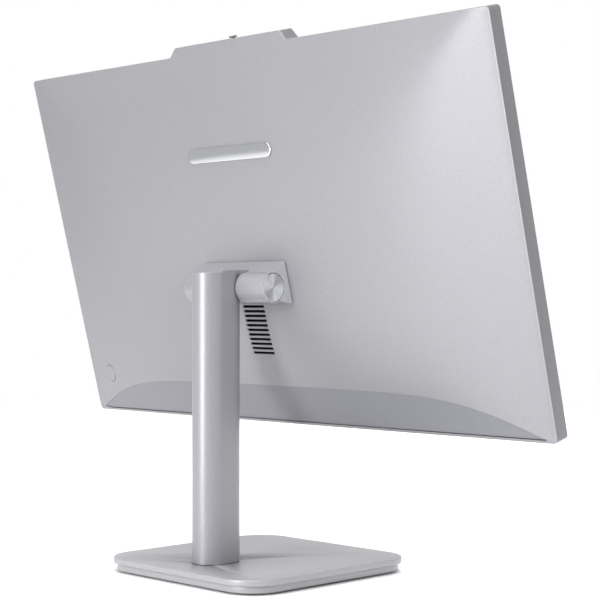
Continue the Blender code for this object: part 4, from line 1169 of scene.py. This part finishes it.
# ---- the hinge ------------------------------------------------------------------------------------------
@dataclass
class HingeBlock:
    """The block that holds the display on its axle, and the turned caps in its two ends."""

    case: Case
    half_width: float = 0.0475
    radius: float = 0.0123
    flare: float = math.radians(16.5)
    notch_half: float = 0.0155
    notch_front: float = 0.0068
    recess: float = 0.0094
    cap_radius: float = 0.0114
    cap_thickness: float = 0.0016
    cap_gap: float = 0.0003
    bore: float = 0.009
    tip: float = 0.0008
    edge: float = 0.0004
    dish: float = 0.0003  # how far the caps' centres sink
    rim_chamfer: float = 0.0004

    def side_view(self) -> list[Point2]:
        """The block's outline in Y, Z about the axis, with softened tips.

        Returns:
            The points.
        """
        front = -(self.case.axis_behind - self.case.lip - self.case.dome_depth) + self.case.gap
        rise = self.radius / math.cos(self.flare) - front * math.tan(self.flare)
        points = [(front, rise - self.tip), (front + 0.3 * self.tip, rise - 0.3 * self.tip - 0.0001)]
        slope = math.tan(self.flare)
        points.append((front + self.tip, rise - self.tip * slope))
        steps = 56
        for step in range(steps + 1):
            angle = math.radians(90) + self.flare - step / steps * (math.pi + 2 * self.flare)
            points.append((self.radius * math.cos(angle), self.radius * math.sin(angle)))
        points.append((front + self.tip, -rise + self.tip * slope))
        points += [(front + 0.3 * self.tip, -rise + 0.3 * self.tip + 0.0001), (front, -rise + self.tip)]
        return points

    def build_block(self, finish: Finishes) -> bpy.types.Object:
        """Build the block with its notch for the column and its seats for the caps.

        Args:
            finish: the materials.

        Returns:
            The block.
        """
        place = self.case.tilt_place()
        profile = self.side_view()
        rings = [[Vector((x, y, z)) for y, z in profile] for x in (-self.half_width, self.half_width)]
        made = finish_piece("hinge_block", loft("hinge_block", rings), place, finish.stand)
        n = self.notch_half
        subtract(made, block((-n, -self.notch_front, -0.04), (n, 0.04, 0.04)), place)
        subtract(made, loft("recess", turned_profile([(-n, self.recess), (n, self.recess)], 48)), place)
        for side in (-1, 1):
            floor = self.half_width - self.cap_thickness - self.cap_gap
            seat = [side * floor, side * (self.half_width + 0.002)]
            bore = [side * (n + 0.006), side * self.half_width]
            for ends, radius in ((seat, self.cap_radius + self.cap_gap), (bore, self.bore)):
                rows = [(min(ends), radius), (max(ends), radius)]
                subtract(made, loft("seat", turned_profile(rows, 72)), place)
        made.data.materials.clear()
        made.data.materials.append(finish.stand)
        made.data.shade_smooth()
        made.data.set_sharp_from_angle(angle=math.radians(30))
        round_edges(made, self.edge, 3, 40)
        return settle(made, "display", "painted_grey", "hinge_housing")

    def build_cap(self, finish: Finishes, side: int) -> bpy.types.Object:
        """Build one cap: a turned disc whose face is a very shallow cone with a chamfered rim.

        Args:
            finish: the materials.
            side: 1 for the cap at the +X end, -1 for the other.

        Returns:
            The cap.
        """
        face = self.half_width
        back = face - self.cap_thickness + self.cap_gap
        r = self.cap_radius
        chamfer = self.rim_chamfer
        rows = [(back, r * 0.2), (back, r), (face - chamfer, r), (face, r - chamfer)]
        rows += [(face - 0.00004, r - 0.0009), (face - self.dish, 0.0006), (face - self.dish, 0.0001)]
        rows = [(along - face, radius) for along, radius in rows]
        if side < 0:
            rows = [(-along, radius) for along, radius in rows]
        end = "right" if side > 0 else "left"
        name = f"turned_cap_{end}"
        place = self.case.tilt_place() @ Matrix.Translation((side * face, 0, 0))
        made = finish_piece(name, loft(name, turned_profile(rows, 96)), place, finish.turned, 20)
        return settle(made, "display", "turned_aluminium", f"hinge_cap_{end}")

    def build(self, finish: Finishes) -> bpy.types.Object:
        """Build the block and its caps.

        Args:
            finish: the materials.

        Returns:
            The block.
        """
        block_piece = self.build_block(finish)
        self.build_cap(finish, -1)
        self.build_cap(finish, 1)
        return block_piece


# ---- the stand ------------------------------------------------------------------------------------------
@dataclass
class Stand:
    """The square base, its weight and the pill-section column."""

    side: float = 0.1866
    corner: float = 0.031
    feet: float = 0.0012
    gap: float = 0.0003
    weight_inset: float = 0.003
    weight_thickness: float = 0.0055
    plate_thickness: float = 0.0049
    column_y: float = 0.0461
    half_width: float = 0.0145
    flat_half: float = 0.0063
    wall: float = 0.0022
    column_top: float = 0.2457
    axis: Point2 = (0.0269, 0.2337)
    boss_radius: float = 0.009
    screw_spacing: float = 0.0115
    screw_hole: float = 0.0028
    head_hole: float = 0.0048
    head_depth: float = 0.0028

    def __post_init__(self) -> None:
        """Work out the heights of the two plates."""
        self.weight_low = self.feet + self.gap
        self.plate_low = self.weight_low + self.weight_thickness + self.gap
        self.plate_high = self.plate_low + self.plate_thickness

    def square(self, inset: float) -> Outline:
        """The base's rounded square, drawn in by an inset.

        Args:
            inset: how far it is drawn in.

        Returns:
            The outline.
        """
        h = self.side / 2 - inset
        corners = [(-h, -h), (h, -h), (h, h), (-h, h)]
        return Outline.rounded(corners, [self.corner - inset] * 4, 24)

    def build_base(self, finish: Finishes) -> None:
        """Build the top plate and the weight under it.

        Args:
            finish: the materials.
        """
        # the base's paint is made paler as painted light from above
        rings = plate_rings(self.square(0), self.plate_low, self.plate_high, 0.0006, 0.0011)
        top = finish_piece("base_top", loft("base_top", rings), Matrix(), finish.base)
        high = self.weight_low + self.weight_thickness
        rings = plate_rings(self.square(self.weight_inset), self.weight_low, high, 0.0008, 0.0006)
        weight = finish_piece("base_weight", loft("base_weight", rings), Matrix(), finish.base)
        for side in (-1, 1):
            y = self.column_y + side * self.screw_spacing
            for piece, radius, ends in (
                (top, self.screw_hole, (0.0, 0.02)),
                (weight, self.screw_hole, (0.0, 0.02)),
                (weight, self.head_hole, (0.0, self.weight_low + self.head_depth)),
            ):
                hole = Outline.circle(radius, 32, (0.0, y))
                rings = [[Vector((px, py, z)) for px, py in hole.points] for z in ends]
                subtract(piece, loft("hole", rings), Matrix())
        settle(top, "stand", "painted_grey", "base_top_plate")
        settle(weight, "stand", "painted_grey", "base_weight_plate")

    def pill(self, radius: float, steps: int = 40) -> Outline:
        """The column's section in X, Y.

        Args:
            radius: the radius of its round ends.
            steps: the number of pieces in each end.

        Returns:
            The outline.
        """
        points, normals = [], []
        for side, start in ((1, 0.0), (-1, math.pi)):
            for step in range(steps + 1):
                angle = start + math.pi * step / steps
                normal = (math.cos(angle), math.sin(angle))
                middle = self.column_y + side * self.flat_half
                points.append((radius * normal[0], middle + radius * normal[1]))
                normals.append(normal)
        return Outline(np.array(points), np.array(normals))

    def build_column(self, finish: Finishes) -> bpy.types.Object:
        """Build the tube, with a soft top edge and the slot that the hinge head comes out of.

        Args:
            finish: the materials.

        Returns:
            The tube.
        """
        outer, inner = self.pill(self.half_width), self.pill(self.half_width - self.wall)
        low, high = self.plate_high + self.gap, self.column_top
        rows = [(outer, 0.0002, low), (outer, 0.0, low + 0.0002)]
        rows += [(outer, inset, high - drop) for inset, drop in reversed(turned_edge(0.0005, 4))]
        rows += [(inner, 0.0, high), (inner, 0.0, low)]
        rings = [[Vector((x, y, z)) for x, y in line.grown(-inset)] for line, inset, z in rows]
        made = finish_piece("column_sleeve", loft("column_sleeve", rings, True), Matrix(), finish.stand)
        w = self.half_width - self.wall + self.gap
        y = self.column_y
        slot = block((-w, y - 0.06, self.axis[1] - self.boss_radius - self.gap), (w, y, high + 0.002))
        subtract(made, slot, Matrix())
        return settle(made, "stand", "painted_grey", "column_tube")

    def build(self, finish: Finishes) -> None:
        """Build the stand.

        Args:
            finish: the materials.
        """
        self.build_base(finish)
        self.build_column(finish)


# ---- the front ------------------------------------------------------------------------------------------
@dataclass
class CameraEye:
    """The small lens that shows in the dark camera window, with its bright ring and the two microphones."""

    case: Case
    centre_z: float = 0.3212
    face: float = -0.0127
    microphone_x: float = 0.018

    def build(self, finish: Finishes) -> None:
        """Build the ring, the glass and the microphone holes' rims.

        Args:
            finish: the materials.
        """
        place = self.case.rim_place() @ Matrix.Translation((0, self.face, self.centre_z))
        rows = [(-0.00012, 0.0023), (-0.00022, 0.0024), (-0.00022, 0.0027)]
        rows += [(-0.00008, 0.0028), (0.0, 0.0028), (0.0, 0.0023)]
        mesh = loft("lens_ring", turned_profile(rows, 48, Axis.Y), True)
        ring = finish_piece("lens_ring", mesh, place, finish.steel)
        settle(ring, "display", "zinced_steel")
        rows = [(0.0, 0.0022), (-0.0001, 0.0021), (-0.00018, 0.0014), (-0.0002, 0.0002)]
        mesh = loft("lens_glass", turned_profile(rows, 48, Axis.Y))
        glass = finish_piece("lens_glass", mesh, place, finish.lens)
        settle(glass, "display", "dark_glass")
        for side, name in ((-1, "microphone_left"), (1, "microphone_right")):
            spot = place @ Matrix.Translation((side * self.microphone_x, 0, 0))
            rows = [(0.0, 0.0007), (-0.0001, 0.0006), (-0.0001, 0.0004), (0.0, 0.0003)]
            mesh = loft(name, turned_profile(rows, 24, Axis.Y))
            hole = finish_piece(name, mesh, spot, finish.steel)
            settle(hole, "display", "zinced_steel")


class KeptNodes:
    """CAD pieces whose shape is already right and which only get a better finish."""

    def __init__(self, finish: Finishes) -> None:
        """Pair each finish with its nodes.

        Args:
            finish: the materials.
        """
        self.groups: dict[bpy.types.Material, tuple[str, ...]] = {
            finish.stand: ("hinge_head",),
            # the chin's paint is darkened as painted shade
            finish.chin: ("chin_cover",),
            finish.rim: ("privacy_shutter",),
            finish.steel: (
                "column_screw_1",
                "column_screw_2",
                "hinge_axle",
                "friction_pack_left",
                "friction_pack_right",
                "mid_plate",
                "lcd_module",
                "mount_plate",
                "mount_screw_1",
                "mount_screw_2",
                "mount_screw_3",
                "mount_screw_4",
                "hdmi_socket",
                "lan_socket",
                "usb_a_socket_1",
                "usb_a_socket_2",
                "usb_c_socket",
            ),
            finish.aluminium: ("fin_stack",),
            finish.casting: ("column_foot",),
            finish.copper: ("cpu_cold_plate", "heat_pipe"),
            finish.black: (
                "button_switch",
                "fan_housing",
                "fan_rotor",
                "speaker_left",
                "speaker_right",
                "power_socket",
                "audio_socket",
            ),
            finish.bezel: ("front_bezel",),
            # the dust mesh's near-black is painted shade for the depth of the vents
            finish.void: ("vent_mesh",),
            finish.rubber: ("rubber_foot_1", "rubber_foot_2", "rubber_foot_3", "rubber_foot_4"),
            finish.window: ("camera_window", "camera_lens"),
            finish.screen: ("screen_glass",),
            finish.board: (
                "camera_board",
                "mainboard",
                "ssd_card",
                "memory_module",
                "wifi_card",
                "io_board",
                "port_board",
            ),
        }

    def dress(self) -> None:
        """Give each kept node its finish."""
        for material, names in self.groups.items():
            for name in names:
                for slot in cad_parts[name].material_slots:
                    slot.material = material
            LOG.info("dressed %s in %s", ", ".join(names), material.name)


# ---- the studio -----------------------------------------------------------------------------------------
@dataclass(frozen=True)
class SoftBox:
    """A rectangular soft box."""

    name: str
    spot: tuple[float, float, float]
    aim: tuple[float, float, float]
    size: Point2
    power: float  # watts

    def build(self, pieces: Sequence[bpy.types.Object] = ()) -> None:
        """Add the light.

        Args:
            pieces: the only pieces that it lights; with none given it lights everything.
        """
        data = bpy.data.lights.new(self.name, "AREA")
        data.shape = "RECTANGLE"
        data.size, data.size_y = self.size
        data.energy = self.power
        made = bpy.data.objects.new(self.name, data)
        made.location = self.spot
        made.rotation_euler = (Vector(self.aim) - Vector(self.spot)).to_track_quat("-Z", "Y").to_euler()
        bpy.context.scene.collection.objects.link(made)
        if pieces:
            group = bpy.data.collections.new("lit_by_" + self.name)
            for piece in pieces:
                group.objects.link(piece)
            made.light_linking.receiver_collection = group


@dataclass
class Studio:
    """A white sweep, a white surround, soft boxes and the camera."""

    camera_spot: tuple[float, float, float] = (-0.9724, 0.9068, 0.2237)
    camera_turn: float = math.radians(225.491)
    lens: float = 96.32
    front_surround: float = 1.0
    rear_surround: float = 0.62
    surround_fade: Point2 = (-0.4, 0.1)  # where along Y the surround starts to dim, and where it stops
    floor_half: float = 1.8
    floor_thickness: float = 0.02
    floor_grey: float = 0.93
    boxes: tuple[SoftBox, ...] = (
        SoftBox("rear_box", (0.05, 1.6, 0.5), (0.0, 0.05, 0.2), (0.42, 1.3), 22.0),
        SoftBox("high_key", (-0.95, 0.65, 1.6), (-0.05, 0.03, 0.2), (0.6, 0.6), 5.0),
        SoftBox("overhead", (0.0, 0.35, 1.9), (0.0, 0.05, 0.0), (1.2, 0.8), 18.0),
    )
    sweep_top: SoftBox = SoftBox("sweep_top", (0.8, -1.3, 2.0), (0.8, -1.1, 0.0), (2.4, 1.6), 40.0)
    right_fill: SoftBox = SoftBox("right_fill", (-1.2, 0.4, 0.15), (-0.15, 0.0, 0.15), (0.8, 1.0), 23.0)

    def build_camera(self) -> None:
        """Place the camera level with the upper part of the column, looking at the back from its left."""
        data = bpy.data.cameras.new("camera")
        data.lens = self.lens
        data.sensor_width = 36.0
        data.clip_start, data.clip_end = 0.01, 100.0
        made = bpy.data.objects.new("camera", data)
        made.location = self.camera_spot
        made.rotation_euler = (math.pi / 2, 0.0, self.camera_turn)
        bpy.context.scene.collection.objects.link(made)
        bpy.context.scene.camera = made

    def build_floor(self) -> bpy.types.Object:
        """Make the pale floor.

        Returns:
            The floor.
        """
        h = self.floor_half
        mesh = block((-h, -h, -self.floor_thickness), (h, h, 0.0))
        made, _, shader = new_material("matt_white_floor")
        shader.inputs["Base Color"].default_value = (*[self.floor_grey] * 3, 1.0)
        shader.inputs["Roughness"].default_value = 0.75
        floor = finish_piece("floor", mesh, Matrix(), made)
        return floor

    def build_surround(self) -> None:
        """Light the scene from all round: white beyond the screen, and dimmer behind the back."""
        world = bpy.data.worlds.new("surround")
        world.use_nodes = True
        tree = world.node_tree
        way = add_node(tree, "ShaderNodeTexCoord").outputs["Generated"]
        parts = add_node(tree, "ShaderNodeSeparateXYZ", inputs={"Vector": way})
        fade = add_node(
            tree,
            "ShaderNodeMapRange",
            inputs={
                "Value": parts.outputs["Y"],
                "From Min": self.surround_fade[0],
                "From Max": self.surround_fade[1],
                "To Min": self.front_surround,
                "To Max": self.rear_surround,
            },
        )
        shade = tree.nodes["Background"]
        shade.inputs["Color"].default_value = (1.0, 1.0, 1.0, 1.0)
        tree.links.new(fade.outputs["Result"], shade.inputs["Strength"])
        bpy.context.scene.world = world

    def build(self) -> None:
        """Build the studio."""
        self.build_camera()
        floor = self.build_floor()
        self.build_surround()
        for box in self.boxes:
            box.build()
        self.sweep_top.build([floor])
        bpy.context.scene.view_settings.view_transform = "Standard"


def main() -> None:
    """Build every sub-assembly in order."""
    logging.basicConfig(level=logging.INFO, format="%(message)s")
    finish = Finishes()
    case = Case()
    studio = Studio()
    studio.build()
    Stand().build(finish)
    filled = [HingeBlock(case).build(finish), RearShell(case).build(finish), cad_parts["chin_cover"]]
    filled += BackTrim(case).build(finish)
    SideFrame(case).build(finish)
    CameraEye(case).build(finish)
    KeptNodes(finish).dress()
    studio.right_fill.build(filled)


if __name__ == "__main__":
    main()
